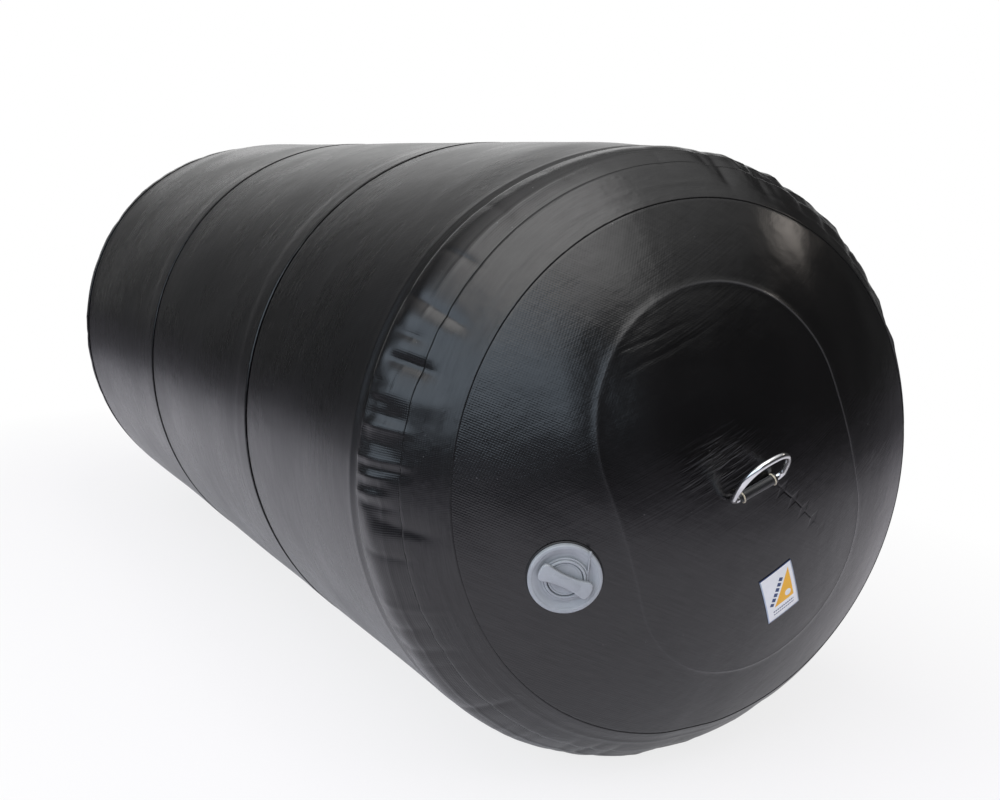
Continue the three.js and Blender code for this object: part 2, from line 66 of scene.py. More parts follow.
# %% Camera
camera_place = Vector((1.7338, -0.7437, 0.6002))
camera_aim = Vector((-0.8748, 0.4509, -0.1773))
camera_data = bpy.data.cameras.new("camera")
camera_data.lens = 50
camera_data.sensor_width = 36
camera = bpy.data.objects.new("camera", camera_data)
camera.location = camera_place
camera.rotation_euler = camera_aim.to_track_quat("-Z", "Y").to_euler()
bpy.context.scene.collection.objects.link(camera)
bpy.context.scene.camera = camera

# %% [markdown]
# ## The tube's sizes
#
# The frame gives the places, and a few sizes that the skin is built from are named here. All of the
# skin is one line turned about the tube's axis: a shallow dome, a rounded shoulder and the straight
# tube. The line is measured by its distance along the skin from the end seam, because the tapes and
# edges on the real fender were laid out along the skin too.

# %% Sizes of the skin
BODY_RADIUS = 305 * MM
REST_HALF_WIDTH = 30 * MM
SEAM_PLANE = 693 * MM
END_SEAM_RADIUS = 254 * MM
DOME_RISE = 91 * MM
NECK_RADIUS = 301 * MM
SHOULDER_LENGTH = 76 * MM
FABRIC = 1.0 * MM
LAYER_GAP = 0.3 * MM
TAPE_WIDTH = 50 * MM
SKIRT_WIDTH = 105 * MM
BODY_EDGE = 35 * MM
NECK_END = 200 * MM
NEAR_LAP = 419 * MM
FAR_LAP = 848 * MM
LAP_WIDTH = 38 * MM

rest_angle = math.asin(REST_HALF_WIDTH / BODY_RADIUS)
AXIS_HEIGHT = BODY_RADIUS * math.cos(rest_angle)
print("axis height", round(AXIS_HEIGHT, 4), "m")

# %% [markdown]
# ## The skin's line
#
# The shoulder is a Bezier curve, sampled finely once so that a distance along it can be turned into
# a point. Each point knows its outward direction, which is what stacks one layer of fabric on the
# next without a gap or a clash.

# %% The skin's line
def bezier(points, count):
    t = np.linspace(0, 1, count)[:, None]
    a, b, c, d = (np.array(p) for p in points)
    return (1 - t) ** 3 * a + 3 * (1 - t) ** 2 * t * b + 3 * (1 - t) * t ** 2 * c + t ** 3 * d


rise = NECK_RADIUS - END_SEAM_RADIUS
shoulder = bezier([
    (0, END_SEAM_RADIUS),
    (SHOULDER_LENGTH * 0.24, END_SEAM_RADIUS + rise * 0.3),
    (SHOULDER_LENGTH * 0.59, NECK_RADIUS),
    (SHOULDER_LENGTH, NECK_RADIUS),
], 400)
shoulder_arc = np.concatenate([[0], np.cumsum(np.hypot(*np.diff(shoulder, axis=0).T))])
shoulder_turn = np.gradient(shoulder, axis=0)
shoulder_turn /= np.linalg.norm(shoulder_turn, axis=1)[:, None]


def skin_point(distance, offset=0.0):
    """(back, radius) at a distance along the skin from the end seam, raised by offset."""
    beyond = max(0.0, distance - shoulder_arc[-1])
    back = np.interp(distance, shoulder_arc, shoulder[:, 0]) + beyond
    radius = np.interp(distance, shoulder_arc, shoulder[:, 1])
    along = [np.interp(distance, shoulder_arc, shoulder_turn[:, k]) for k in (0, 1)]
    return back - along[1] * offset, radius + along[0] * offset


def dome_point(radius, offset=0.0):
    share = radius / END_SEAM_RADIUS
    slope = 2 * DOME_RISE * share / END_SEAM_RADIUS
    length = math.hypot(1, slope)
    return -DOME_RISE * (1 - share ** 2) - offset / length, radius + slope * offset / length


def tube_point(back, offset=0.0):
    """(back, radius) of the tube, which swells from the neck to its full radius."""
    neck_back = skin_point(SKIRT_WIDTH)[0]
    share = min(max((back - neck_back) / (NECK_END - neck_back), 0), 1)
    smooth = share * share * (3 - 2 * share)
    return back, NECK_RADIUS + (BODY_RADIUS - NECK_RADIUS) * smooth + offset


print("shoulder is", round(shoulder_arc[-1] / MM), "mm along the skin")

# %% [markdown]
# ## Folds
#
# A flat disc of fabric has to shrink to become the cap's skirt, so it puckers round the shoulder.
# Each pucker is a short groove across the shoulder with a small swelling on both sides. Those that
# show best were measured, and the rest are scattered with a fixed seed, so each run is the same.

# %% Folds round the shoulder
measured_folds = [
    # angle from the top, half width, lift in mm, start and end behind the seam in mm, slant
    (46.5, 0.6, -1.2, 41, 74, 0.0),
    (56.3, 0.7, -1.5, 24, 84, -1.0),
    (59.4, 1.7, 0.9, 20, 78, -0.4),
    (62.4, 0.8, -1.6, 46, 76, 0.0),
    (64.8, 1.2, 0.6, 34, 70, 0.0),
    (67.1, 1.4, -3.4, 26, 74, 0.0),
    (71.2, 0.8, -1.3, 64, 84, 0.0),
    (72.4, 2.2, 1.2, 14, 58, 0.0),
    (74.5, 0.9, -1.4, 60, 82, 0.0),
    (76.6, 1.3, -2.1, 44, 80, 0.2),
    (78.5, 0.9, 1.4, 36, 80, 0.0),
    (81.5, 1.6, -2.0, 44, 82, -0.3),
    (84.3, 0.7, 0.9, 34, 88, 0.0),
    (85.6, 0.9, -1.3, 34, 80, 0.0),
    (87.3, 0.6, 1.0, 54, 82, 0.0),
    (88.8, 0.8, -1.1, 52, 80, 0.0),
    (90.5, 0.7, 1.1, 52, 86, 0.0),
    (92.2, 1.0, -1.6, 44, 80, -0.4),
    (94.4, 1.7, -2.0, 14, 66, -2.2),
    (97.5, 1.6, 0.6, 20, 70, 0.0),
]
lobe_angles = [-8.5, -17.6, -28.1, -36.5, -45.4, -54.5, -64.0]

dice = random.Random(11)
FOLD_DEPTH = 1.15
near_folds = list(measured_folds)
near_folds += [(angle, 1.5, -1.9, 16, 84, dice.uniform(-1.5, 1.5)) for angle in lobe_angles]


def scattered_folds(start, stop, gap, depth):
    folds = []
    angle = start
    while angle < stop:
        reach = dice.uniform(18, 50)
        lift = -depth * dice.uniform(0.35, 1.3)
        if dice.random() < 0.3:
            lift *= -0.6
        folds.append((angle, dice.uniform(0.6, 1.4), lift, reach, dice.uniform(70, 92),
                      dice.uniform(-1.2, 1.2)))
        angle += gap * dice.uniform(0.5, 1.7)
    return folds


near_folds += scattered_folds(101, 284, 4.6, 1.1)
near_folds += scattered_folds(4, 42, 7.0, 0.6)
near_folds += scattered_folds(-72, -5, 3.0, 1.3)
far_folds = scattered_folds(0, 359, 5.4, 0.7)
print(len(near_folds), "folds on the near shoulder,", len(far_folds), "on the far one")


def smooth_step(value, start, stop):
    share = np.clip((value - start) / (stop - start), 0, 1)
    return share * share * (3 - 2 * share)


def fold_relief(folds, angle, back):
    """Height in metres of the folds, at angles in degrees and distances behind the seam plane."""
    height = np.zeros_like(angle)
    middle = 60 * MM
    for at, half_width, lift, start, stop, slant in folds:
        centre = at + slant * (back - middle) / (40 * MM)
        away = (angle - centre + 180) % 360 - 180
        along = smooth_step(back, (start - 12) * MM, (start + 12) * MM)
        along = along * (1 - smooth_step(back, (stop - 6) * MM, (stop + 12) * MM))
        if lift < 0:
            # A groove is a soft V, a swelling is round
            reach = 1.1 * half_width
            shape = FOLD_DEPTH * np.exp(0.35 - np.hypot(away / reach, 0.35))
        else:
            shape = np.exp(-(away / half_width) ** 2)
        height += lift * MM * along * shape
    return height


# %% [markdown]
# ## Ridges
#
# Hidden edges show through thin fabric as soft ridges: the edges of the inner tape, the end of each
# lap, and the rim of the stadium-shaped patch that carries the ring. Each is a small rounded step.

# %% Ridges over hidden edges
PATCH_WIDTH = 252 * MM
PATCH_LENGTH = 372 * MM
PATCH_TILT = math.radians(18.4)
ring_place = np.array([-4.9, 6.2]) * MM
bar_angle = math.radians(20.2)


def ridge(distance, half_width, height):
    return height * np.exp(-(distance / half_width) ** 2)


def patch_distance(y, z):
    """Signed distance from the patch's rim, in its own plane; negative inside."""
    along = np.array([-math.sin(PATCH_TILT), math.cos(PATCH_TILT)])
    across = np.array([along[1], -along[0]])
    u = y * across[0] + z * across[1]
    v = y * along[0] + z * along[1]
    straight = (PATCH_LENGTH - PATCH_WIDTH) / 2
    return np.hypot(u, np.maximum(np.abs(v) - straight, 0)) - PATCH_WIDTH / 2


def ring_coordinates(y, z):
    """Distances along the ring's bar and up from it, on the end's face."""
    dy = y - ring_place[0]
    dz = z - ring_place[1]
    c, s = math.cos(bar_angle), math.sin(bar_angle)
    return dy * c + dz * s, dz * c - dy * s


def dome_relief(y, z):
    rim = patch_distance(y, z)
    fade = 0.55 + 0.35 * smooth_step(z, -160 * MM, 60 * MM)
    height = fade * (ridge(rim, 2.6 * MM, 0.45 * MM) + 0.45 * MM * (1 - smooth_step(rim, -3 * MM, 3 * MM)))
    along, up = ring_coordinates(y, z)
    # Soft pleats that run up from the strap
    fan = smooth_step(up, 8 * MM, 60 * MM) * (1 - smooth_step(up, 90 * MM, 190 * MM))
    height += 0.55 * MM * fan * np.sin(along / (11 * MM) + 1.2 * np.sin(up / (40 * MM)))
    # The strap pulls the skin outwards a little
    height += 0.8 * MM * np.exp(-(along / (32 * MM)) ** 2 - (up / (9 * MM)) ** 2)
    return height


def waves(angle, back):
    """Long shallow unevenness of the inflated skin."""
    turns = np.radians(angle)
    height = np.sin(3 * turns + back * 9) + 0.7 * np.sin(5 * turns - back * 14 + 1.1)
    height += 0.5 * np.sin(8 * turns + back * 23 + 0.4)
    return 0.35 * MM * height


# %% [markdown]
# ## Turning the skin
#
# Every layer is a closed line spun about the tube's axis. A spin slows down as the mesh grows, so it
# makes one eighth, which is then copied, turned and doubled three times. Then each point is moved
# along the skin's outward direction by the folds and ridges, the same for every layer, so the layers
# stay stacked. Last, the points at the bottom are lifted to the small flat that it rests on.

# %% Turn a line and shape it
SECTORS = 8


def outward_and_height(points):
    """The skin's outward direction at each point, and how high the folds and ridges lift it."""
    side = np.sign(points[:, 0])
    back = SEAM_PLANE - np.abs(points[:, 0])
    y = points[:, 1]
    z = points[:, 2] - AXIS_HEIGHT
    radius = np.maximum(np.hypot(y, z), 1e-9)
    angle = np.degrees(np.arctan2(-y, z))
    on_dome = back < 0
    slope = np.minimum(2 * DOME_RISE * radius / END_SEAM_RADIUS ** 2, 0.72)
    lean = np.interp(back, shoulder[:, 0], shoulder_turn[:, 1] / np.maximum(shoulder_turn[:, 0], 1e-6))
    forward = np.where(on_dome, 1 / slope.clip(1e-6), lean)
    length = np.hypot(forward, 1)
    out = np.stack([side * forward / length, y / radius / length, z / radius / length], 1)
    height = fold_relief(near_folds, angle, back) * (side > 0)
    height += fold_relief(far_folds, angle, back) * (side < 0)
    blend_in = smooth_step(back, -20 * MM, 30 * MM)
    height += waves(angle, points[:, 0]) * blend_in
    near_dome = (side > 0) * (1 - smooth_step(radius, 236 * MM, 252 * MM)) * (back < 30 * MM)
    height += near_dome * dome_relief(y, z)
    inner_edges = ridge(back - skin_point(20 * MM)[0], 2.2 * MM, 0.35 * MM)
    inner_edges += ridge(back - skin_point(70 * MM)[0], 1.8 * MM, 0.55 * MM)
    inner_edges += ridge(back - skin_point(122 * MM)[0], 2.6 * MM, 0.3 * MM)
    height += inner_edges
    # The neck behind the skirt shows only at the top, and each lap makes a low band that ends in a soft step
    lower = smooth_step(np.abs(angle), 14, 50)
    neck_back = skin_point(SKIRT_WIDTH)[0]
    neck_gap = (BODY_RADIUS - NECK_RADIUS) * (1 - smooth_step(back, neck_back, NECK_END))
    height += lower * neck_gap * smooth_step(back, 42 * MM, 86 * MM)
    along = SEAM_PLANE - points[:, 0]
    for lap in (NEAR_LAP, FAR_LAP):
        lap_end = lap + LAP_WIDTH
        band = smooth_step(along, lap - 1 * MM, lap) * (1 - smooth_step(along, lap_end - 3 * MM, lap_end))
        height += 0.45 * MM * band + ridge(along - lap - LAP_WIDTH, 2.4 * MM, 0.3 * MM)
    return out, height


def turned_skin(name, line, steps, side=1):
    """A closed line of (back, radius) points spun about the tube's axis and shaped."""
    mesh = bmesh.new()
    corners = [mesh.verts.new((side * (SEAM_PLANE - back), 0, AXIS_HEIGHT + radius)) for back, radius in line]
    edges = [mesh.edges.new(pair) for pair in zip(corners, corners[1:] + corners[:1])]
    turn = 2 * math.pi / SECTORS
    bmesh.ops.spin(mesh, geom=corners + edges, cent=(0, 0, AXIS_HEIGHT), axis=(1, 0, 0),
                   angle=turn, steps=steps // SECTORS)
    while turn < 1.9 * math.pi:
        copy = bmesh.ops.duplicate(mesh, geom=mesh.verts[:] + mesh.edges[:] + mesh.faces[:])["geom"]
        bmesh.ops.rotate(mesh, verts=[v for v in copy if isinstance(v, bmesh.types.BMVert)],
                         cent=(0, 0, AXIS_HEIGHT), matrix=Matrix.Rotation(turn, 3, "X"))
        turn *= 2
    bmesh.ops.remove_doubles(mesh, verts=mesh.verts, dist=0.01 * MM)
    bmesh.ops.dissolve_degenerate(mesh, edges=mesh.edges, dist=0.001 * MM)
    bmesh.ops.recalc_face_normals(mesh, faces=mesh.faces)
    data = bpy.data.meshes.new(name)
    mesh.to_mesh(data)
    mesh.free()
    points = np.empty(len(data.vertices) * 3)
    data.vertices.foreach_get("co", points)
    points = points.reshape(-1, 3)
    out, height = outward_and_height(points)
    points += out * height[:, None]
    radius = np.hypot(points[:, 1], points[:, 2] - AXIS_HEIGHT)
    floor_line = AXIS_HEIGHT - radius * math.cos(rest_angle)
    softness = 0.4 * MM
    gap = points[:, 2] - floor_line
    points[:, 2] = floor_line + softness * np.logaddexp(0, gap / softness)
    points[:, 2] = np.maximum(points[:, 2], 0)
    data.vertices.foreach_set("co", points.ravel())
    data.shade_smooth()
    data.update()
    piece = bpy.data.objects.new(name, data)
    bpy.context.scene.collection.objects.link(piece)
    print(name, len(data.polygons), "faces")
    return piece


def ladder(start, stop, step):
    """Evenly spaced values from start to stop, about step apart."""
    count = max(2, round(abs(stop - start) / step) + 1)
    return [float(v) for v in np.linspace(start, stop, count)]


# %% [markdown]
# ## End caps
#
# The cap is one disc of fabric: the dome that faces out and the skirt that folds over the shoulder.
# They are spun apart, because the folds need many more steps round than the smooth dome does. They
# meet under the shoulder tape, where the join can't be seen.

# %% End caps
SKIRT_JOIN = 12 * MM
STEPS_NEAR = {"dome": 480, "skirt": 960}
STEPS_FAR = {"dome": 320, "skirt": 480}


def cap_dome(name, steps, step, side):
    radii = ladder(0, END_SEAM_RADIUS, step)[:-1]
    rim = ladder(0, SKIRT_JOIN, 3 * MM)
    outer = [dome_point(r) for r in radii] + [skin_point(s) for s in rim]
    inner = [skin_point(s, -FABRIC) for s in rim[::-1]]
    inner += [dome_point(r, -FABRIC) for r in radii[::-1][::4]] + [dome_point(0, -FABRIC)]
    return turned_skin(name, outer + inner, steps, side)


def cap_skirt(name, steps, step, side):
    distances = ladder(SKIRT_JOIN + 0.1 * MM, SKIRT_WIDTH, step)
    outer = [skin_point(s) for s in distances]
    inner = [skin_point(s, -FABRIC) for s in distances[::-1][::2]]
    return turned_skin(name, outer + inner, steps, side)


dome_near = cap_dome("cap_dome_near", STEPS_NEAR["dome"], 2.5 * MM, 1)
skirt_near = cap_skirt("cap_skirt_near", STEPS_NEAR["skirt"], 2.0 * MM, 1)
dome_far = cap_dome("cap_dome_far", STEPS_FAR["dome"], 5 * MM, -1)
skirt_far = cap_skirt("cap_skirt_far", STEPS_FAR["skirt"], 3.5 * MM, -1)
for piece, node in zip((dome_near, skirt_near, dome_far, skirt_far),
                       ("end_cap_near", "end_cap_near", "end_cap_far", "end_cap_far")):
    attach(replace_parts(piece, node), "shell")

# %% Shoulder tapes
TAPE_EDGE = 0.22 * MM
TAPE_HEIGHT = 0.9 * MM
TAPE_SINK = 0.05 * MM


def shoulder_tape(name, steps, step, side):
    """The tape's edges are pressed down where they are welded, so they taper."""
    distances = ladder(0, TAPE_WIDTH, step)
    outer = []
    for s in distances:
        edge = min(0.5 * s, TAPE_WIDTH - s)
        rise_share = float(smooth_step(edge, -1 * MM, 4 * MM))
        outer.append(skin_point(s, TAPE_EDGE + (TAPE_HEIGHT - TAPE_EDGE) * rise_share))
    inner = [skin_point(s, TAPE_SINK) for s in distances[::-1]]
    return turned_skin(name, outer + inner, steps, side)


tape_near = shoulder_tape("shoulder_band_near", STEPS_NEAR["skirt"], 2.0 * MM, 1)
tape_far = shoulder_tape("shoulder_band_far", STEPS_FAR["skirt"], 5 * MM, -1)
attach(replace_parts(tape_near, "shoulder_tape_near"), "shell")
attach(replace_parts(tape_far, "shoulder_tape_far"), "shell")

# %% [markdown]
# ## The tube's panels
#
# Three panels make the tube. The middle one laps over the near one and the far one laps over the
# middle one, so each lap shows one crisp edge, and a soft ridge where the panel under it ends. A
# panel's end under a lap steps in by the thickness of a layer.

# %% The tube's panels
LAYER = FABRIC + LAYER_GAP
STEP_LENGTH = 2.5 * MM


def under_skirt():
    """A panel's hidden end, from its edge under the cap's skirt out to the open tube."""
    hidden = [skin_point(s, -LAYER) for s in ladder(BODY_EDGE, SKIRT_WIDTH, 5 * MM)]
    open_start = skin_point(SKIRT_WIDTH)[0]
    ridge_back = skin_point(SKIRT_WIDTH + 17 * MM)[0]
    rise_line = [tube_point(b, -LAYER * (1 - smooth_step(b, open_start + 4 * MM, ridge_back)))
                 for b in ladder(open_start + 4 * MM, ridge_back, 2 * MM)]
    return hidden + [(float(b), float(r)) for b, r in rise_line]


def stepped_end(edge):
    """A panel's end under a lap: a rounded step in, and a flat run to its edge."""
    step = [(b, BODY_RADIUS - LAYER * float(smooth_step(b, edge - STEP_LENGTH, edge)))
            for b in ladder(edge - STEP_LENGTH, edge, 0.6 * MM)]
    return step + [(edge + LAP_WIDTH, BODY_RADIUS - LAYER)]


def panel(name, outer, steps, side=1):
    inner = [(back, radius - FABRIC) for back, radius in outer[::-1]]
    return turned_skin(name, outer + inner, steps, side)


start = under_skirt()
near_line = ladder(start[-1][0] + 3 * MM, NEAR_LAP - STEP_LENGTH - 5 * MM, 7 * MM)
near_line = start + [tube_point(b) for b in near_line] + stepped_end(NEAR_LAP)
middle_line = [tube_point(b) for b in ladder(NEAR_LAP + LAYER_GAP, FAR_LAP - STEP_LENGTH - 5 * MM, 7 * MM)]
middle_line += stepped_end(FAR_LAP)
far_edge = 2 * SEAM_PLANE - FAR_LAP - LAYER_GAP
far_line = start + [tube_point(b) for b in ladder(start[-1][0] + 3 * MM, far_edge, 8 * MM)]

panels = [
    panel("tube_panel_near", near_line, 480),
    panel("tube_panel_middle", middle_line, 480),
    panel("tube_panel_far", far_line, 360, -1),
]
for piece, node in zip(panels, ("body_panel_near", "body_panel_middle", "body_panel_far")):
    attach(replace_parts(piece, node), "shell")

# %% [markdown]
# ## Building materials
#
# A material is a net of nodes. Written out one by one, the nodes hide what a finish is made of, so a
# small class adds a node, sets or links its inputs and hands back its output. A finish then reads
# like a sum: noise, remapped, into roughness. Plain values are set on the sockets themselves.

# %% A builder of node trees
class Shading:
    """Adds nodes to one tree. A value given to an input may be a number, a vector or an output."""

    def __init__(self, tree):
        self.nodes = tree.nodes
        self.links = tree.links

    def feed(self, node, inputs):
        for name, value in inputs.items():
            if isinstance(value, bpy.types.NodeSocket):
                self.links.new(value, node.inputs[name])
            else:
                node.inputs[name].default_value = value

    def add(self, kind, output, inputs, **settings):
        """A new node's output, or all of its outputs where output is None."""
        node = self.nodes.new("ShaderNode" + kind)
        for name, value in settings.items():
            setattr(node, name, value)
        self.feed(node, inputs)
        return node.outputs if output is None else node.outputs[output]

    def math(self, operation, first, second=0.0):
        return self.add("Math", 0, {0: first, 1: second}, operation=operation)

    def times(self, first, *others):
        for other in others:
            first = self.math("MULTIPLY", first, other)
        return first

    def plus(self, first, second):
        return self.math("ADD", first, second)

    def minus(self, first, second):
        return self.math("SUBTRACT", first, second)

    def size(self, value):
        return self.math("ABSOLUTE", value)

    def larger(self, first, second):
        return self.math("MAXIMUM", first, second)

    def vector(self, x, y):
        return self.add("CombineXYZ", 0, {0: x, 1: y})

    def parts(self, vector):
        """The x, y and z of a vector."""
        return self.add("SeparateXYZ", None, {0: vector})

    def length(self, vector):
        return self.add("VectorMath", "Value", {0: vector}, operation="LENGTH")

    def object_place(self):
        return self.add("TexCoord", "Object", {})

    def mapped(self, vector, kind="POINT", **values):
        return self.add("Mapping", 0, {"Vector": vector, **values}, vector_type=kind)

    def turned(self, x, y, angle):
        """A point's two coordinates in a frame turned by an angle."""
        c, s = math.cos(angle), math.sin(angle)
        return self.plus(self.times(x, c), self.times(y, s)), self.plus(self.times(x, -s), self.times(y, c))

    def noise(self, vector, scale, detail=3.0, roughness=0.5):
        inputs = {"Vector": vector, "Scale": scale, "Detail": detail, "Roughness": roughness}
        return self.add("TexNoise", "Fac", inputs)

    def drawn_out(self, vector, scale, detail=2.0, roughness=0.6):
        """Noise with its own scale along each axis, for scratches, streaks and creases."""
        return self.noise(self.mapped(vector, Scale=(*scale, 1)), 1.0, detail, roughness)

    def remap(self, value, low, high, from_low=0.3, from_high=0.7):
        """Turn the range from_low to from_high into low to high, held at both ends."""
        inputs = {"Value": value, "From Min": from_low, "From Max": from_high, "To Min": low, "To Max": high}
        return self.add("MapRange", "Result", inputs)

    def bump(self, height, distance, strength=1.0, below=None):
        inputs = {"Height": height, "Distance": distance, "Strength": strength}
        if below is not None:
            inputs["Normal"] = below
        return self.add("Bump", "Normal", inputs)

    def mix(self, share, first, second):
        """Two colours mixed; the first may be an output."""
        first = first if isinstance(first, bpy.types.NodeSocket) else (*first, 1)
        return self.add("Mix", "Result", {"Factor": share, "A": first, "B": (*second, 1)}, data_type="RGBA")

    def mirrored_ray(self, rays):
        return self.larger(rays["Is Glossy Ray"], rays["Is Transmission Ray"])


def new_material(name):
    material = bpy.data.materials.new(name)
    material.use_nodes = True
    tree = Shading(material.node_tree)
    return material, tree, tree.nodes["Principled BSDF"]


# A wave texture repeats every 2 pi / 20 units at scale 1, so this over a pitch is the scale for it
WAVE_UNIT = 2 * math.pi / 20

# %% [markdown]
# ## Wrinkles by the ring
#
# The skin is thin over the patch, and the strap pulls at it, so it creases: fine short creases beside
# the strap, a few long ones higher up, and one with barbs below. They are far finer than the mesh, so
# they are drawn as heights in the material. Each is a line between two points of the end's face.

# %% Wrinkles by the ring
BARB_PITCH = 9 * MM
BARBED_CREASE = ((24, -12), (62, -102))
CREASE_WAVE = 2 * MM
# Each long crease: its two ends in mm across and up from the axis, half width and depth
LONG_CREASES = (((-123, 107), (0, 160), 4.0, 0.20), ((-119, 127), (-36, 158), 3.2, 0.15),
                ((-92, 77), (-42, 98), 3.0, 0.12), ((-80, 42), (-12, 68), 3.0, 0.16))
# The field of fine creases beside the strap, in mm along the bar and up from it
FIELD_PLACE = (16, -38)
FIELD_REACH = (42, 27)


def line_frame(tree, plane, start, end, rise):
    """Distances along and away from a slightly wavy line between two points, and its length."""
    span = (Vector(end) - Vector(start)) * MM
    lined_up = tree.mapped(plane, "TEXTURE", Location=(start[0] * MM, rise + start[1] * MM, 0),
                           Rotation=(0, 0, math.atan2(span.y, span.x)))
    along, aside, _ = tree.parts(lined_up)
    wave = tree.remap(tree.drawn_out(plane, (22, 22)), -CREASE_WAVE, CREASE_WAVE, 0.2, 0.8)
    return along, tree.size(tree.plus(aside, wave)), span.length


def faded(tree, depth, along, length, start_share, end_share):
    started = tree.remap(along, 0, 1, 0, start_share * length)
    ended = tree.remap(along, 1, 0, end_share * length, length)
    return tree.times(depth, tree.times(started, ended))


def barbed_crease(tree, plane):
    """A crease with short soft barbs, which runs down from the strap's right end."""
    along, away, length = line_frame(tree, plane, *BARBED_CREASE, 0)
    barb = tree.math("PINGPONG", along, BARB_PITCH)
    half_width = tree.remap(barb, 1.5 * MM, 12 * MM, 0.6 * BARB_PITCH, BARB_PITCH)
    depth = tree.remap(tree.math("DIVIDE", away, half_width), 1, 0, 0, 1)
    return faded(tree, depth, along, length, 0.06, 0.6)


def long_crease(tree, face, start, end, half_width):
    along, away, length = line_frame(tree, face, start, end, AXIS_HEIGHT)
    depth = tree.remap(away, 1, 0, 0, half_width * MM)
    return faded(tree, depth, along, length, 0.08, 0.45)


def patch_rim_line(tree, y, up):
    """1 on the patch's rim, 0 beside it; the same stadium as patch_distance."""
    across, along = tree.turned(y, up, PATCH_TILT)
    past = tree.larger(tree.minus(tree.size(along), (PATCH_LENGTH - PATCH_WIDTH) / 2), 0.0)
    rim = tree.minus(tree.length(tree.vector(across, past)), PATCH_WIDTH / 2)
    return tree.remap(tree.size(rim), 1, 0, 0, 1.7 * MM)


def end_face_wrinkles(tree, y, face, rim_line, below):
    """All the creases of the end's face, its patch's rim, and faint scratches over them."""
    location = (float(ring_place[0]), AXIS_HEIGHT + float(ring_place[1]), 0)
    by_ring = tree.mapped(face, "TEXTURE", Location=location, Rotation=(0, 0, bar_angle + 0.12))
    field_place = (FIELD_PLACE[0] / FIELD_REACH[0], FIELD_PLACE[1] / FIELD_REACH[1], 0)
    field_scale = (1 / FIELD_REACH[0] / MM, 1 / FIELD_REACH[1] / MM, 1)
    field = tree.mapped(by_ring, Location=field_place, Scale=field_scale)
    inside = tree.remap(tree.length(field), 1, 0, 0.2, 1.3)
    creases = tree.remap(tree.drawn_out(by_ring, (30, 270)), 0, 1, 0.42, 0.72)
    relief = tree.bump(tree.times(creases, inside), 0.55 * MM, 1.0, below)
    relief = tree.bump(barbed_crease(tree, by_ring), -0.36 * MM, 1.0, relief)
    for start, end, half_width, depth in LONG_CREASES:
        relief = tree.bump(long_crease(tree, face, start, end, half_width), -depth * MM, 1.0, relief)
    rim_line = tree.times(rim_line, tree.remap(y, 0.1, 1, -60 * MM, 20 * MM))
    relief = tree.bump(rim_line, 0.36 * MM, 1.0, relief)
    return tree.bump(tree.drawn_out(by_ring, (9, 700)), 0.11 * MM, 1.0, relief)


# %% [markdown]
# ## Coated fabric
#
# The skin is polyester cloth with a smooth black coating. Its gloss is what the eye reads: soft
# reflections, broken by a very fine weave that presses through, by faint streaks round the tube and
# by scuffs that are a little rougher. The pattern is laid out in millimetres round the tube, so the
# nodes first turn the object's coordinates into an arc length and a length along the tube.

# %% Coated fabric
BLACK = (0.0024, 0.0022, 0.0024)
SOFT_BLACK = (0.0042, 0.0038, 0.0041)
# Painted highlight colour for the patch's rim
PAINTED_RIM_HIGHLIGHT = (0.052, 0.050, 0.052)
DUST = (0.30, 0.29, 0.29)
WEAVE_SLANT = math.radians(25)


def weave(tree, plane, pitch, y, up):
    """Two crossing sets of ribs, which show most where the cloth is stretched, by the end's rim."""
    first, second = [tree.add("TexWave", "Fac", {"Vector": plane, "Scale": WAVE_UNIT / pitch},
                              bands_direction=direction) for direction in "XY"]
    ribs = tree.times(tree.plus(tree.times(first, 0.8), 0.2), second)
    reach = tree.plus(tree.math("POWER", y, 2.0), tree.math("POWER", up, 2.0))
    return tree.times(ribs, tree.remap(reach, 0.1, 1.0, 0.012, 0.055), tree.remap(y, 1.0, 0.3, -0.16, -0.02))


def dust(tree, place):
    """1 on a sparse speck of dust, 0 beside it."""
    specks = tree.add("TexVoronoi", None, {"Vector": place, "Scale": 95})
    chosen = tree.remap(tree.parts(specks["Color"])[0], 0, 1, 0.66, 1.1)
    return tree.times(tree.remap(specks["Distance"], 0.7, 0, 0.02, 0.055), chosen)


def adhesive_gloss(tree, x, around):
    """The gloss, with a beaded line of dull dark adhesive along each lap's edge."""
    reach = tree.remap(tree.drawn_out(around, (90, 240)), 0.5 * MM, 2.1 * MM, 0.3, 0.62)
    near, far = [tree.math("LESS_THAN", tree.size(tree.minus(x, SEAM_PLANE - lap)), reach)
                 for lap in (NEAR_LAP, FAR_LAP)]
    return tree.remap(tree.larger(near, far), 0.6, 0.04, 0, 1)


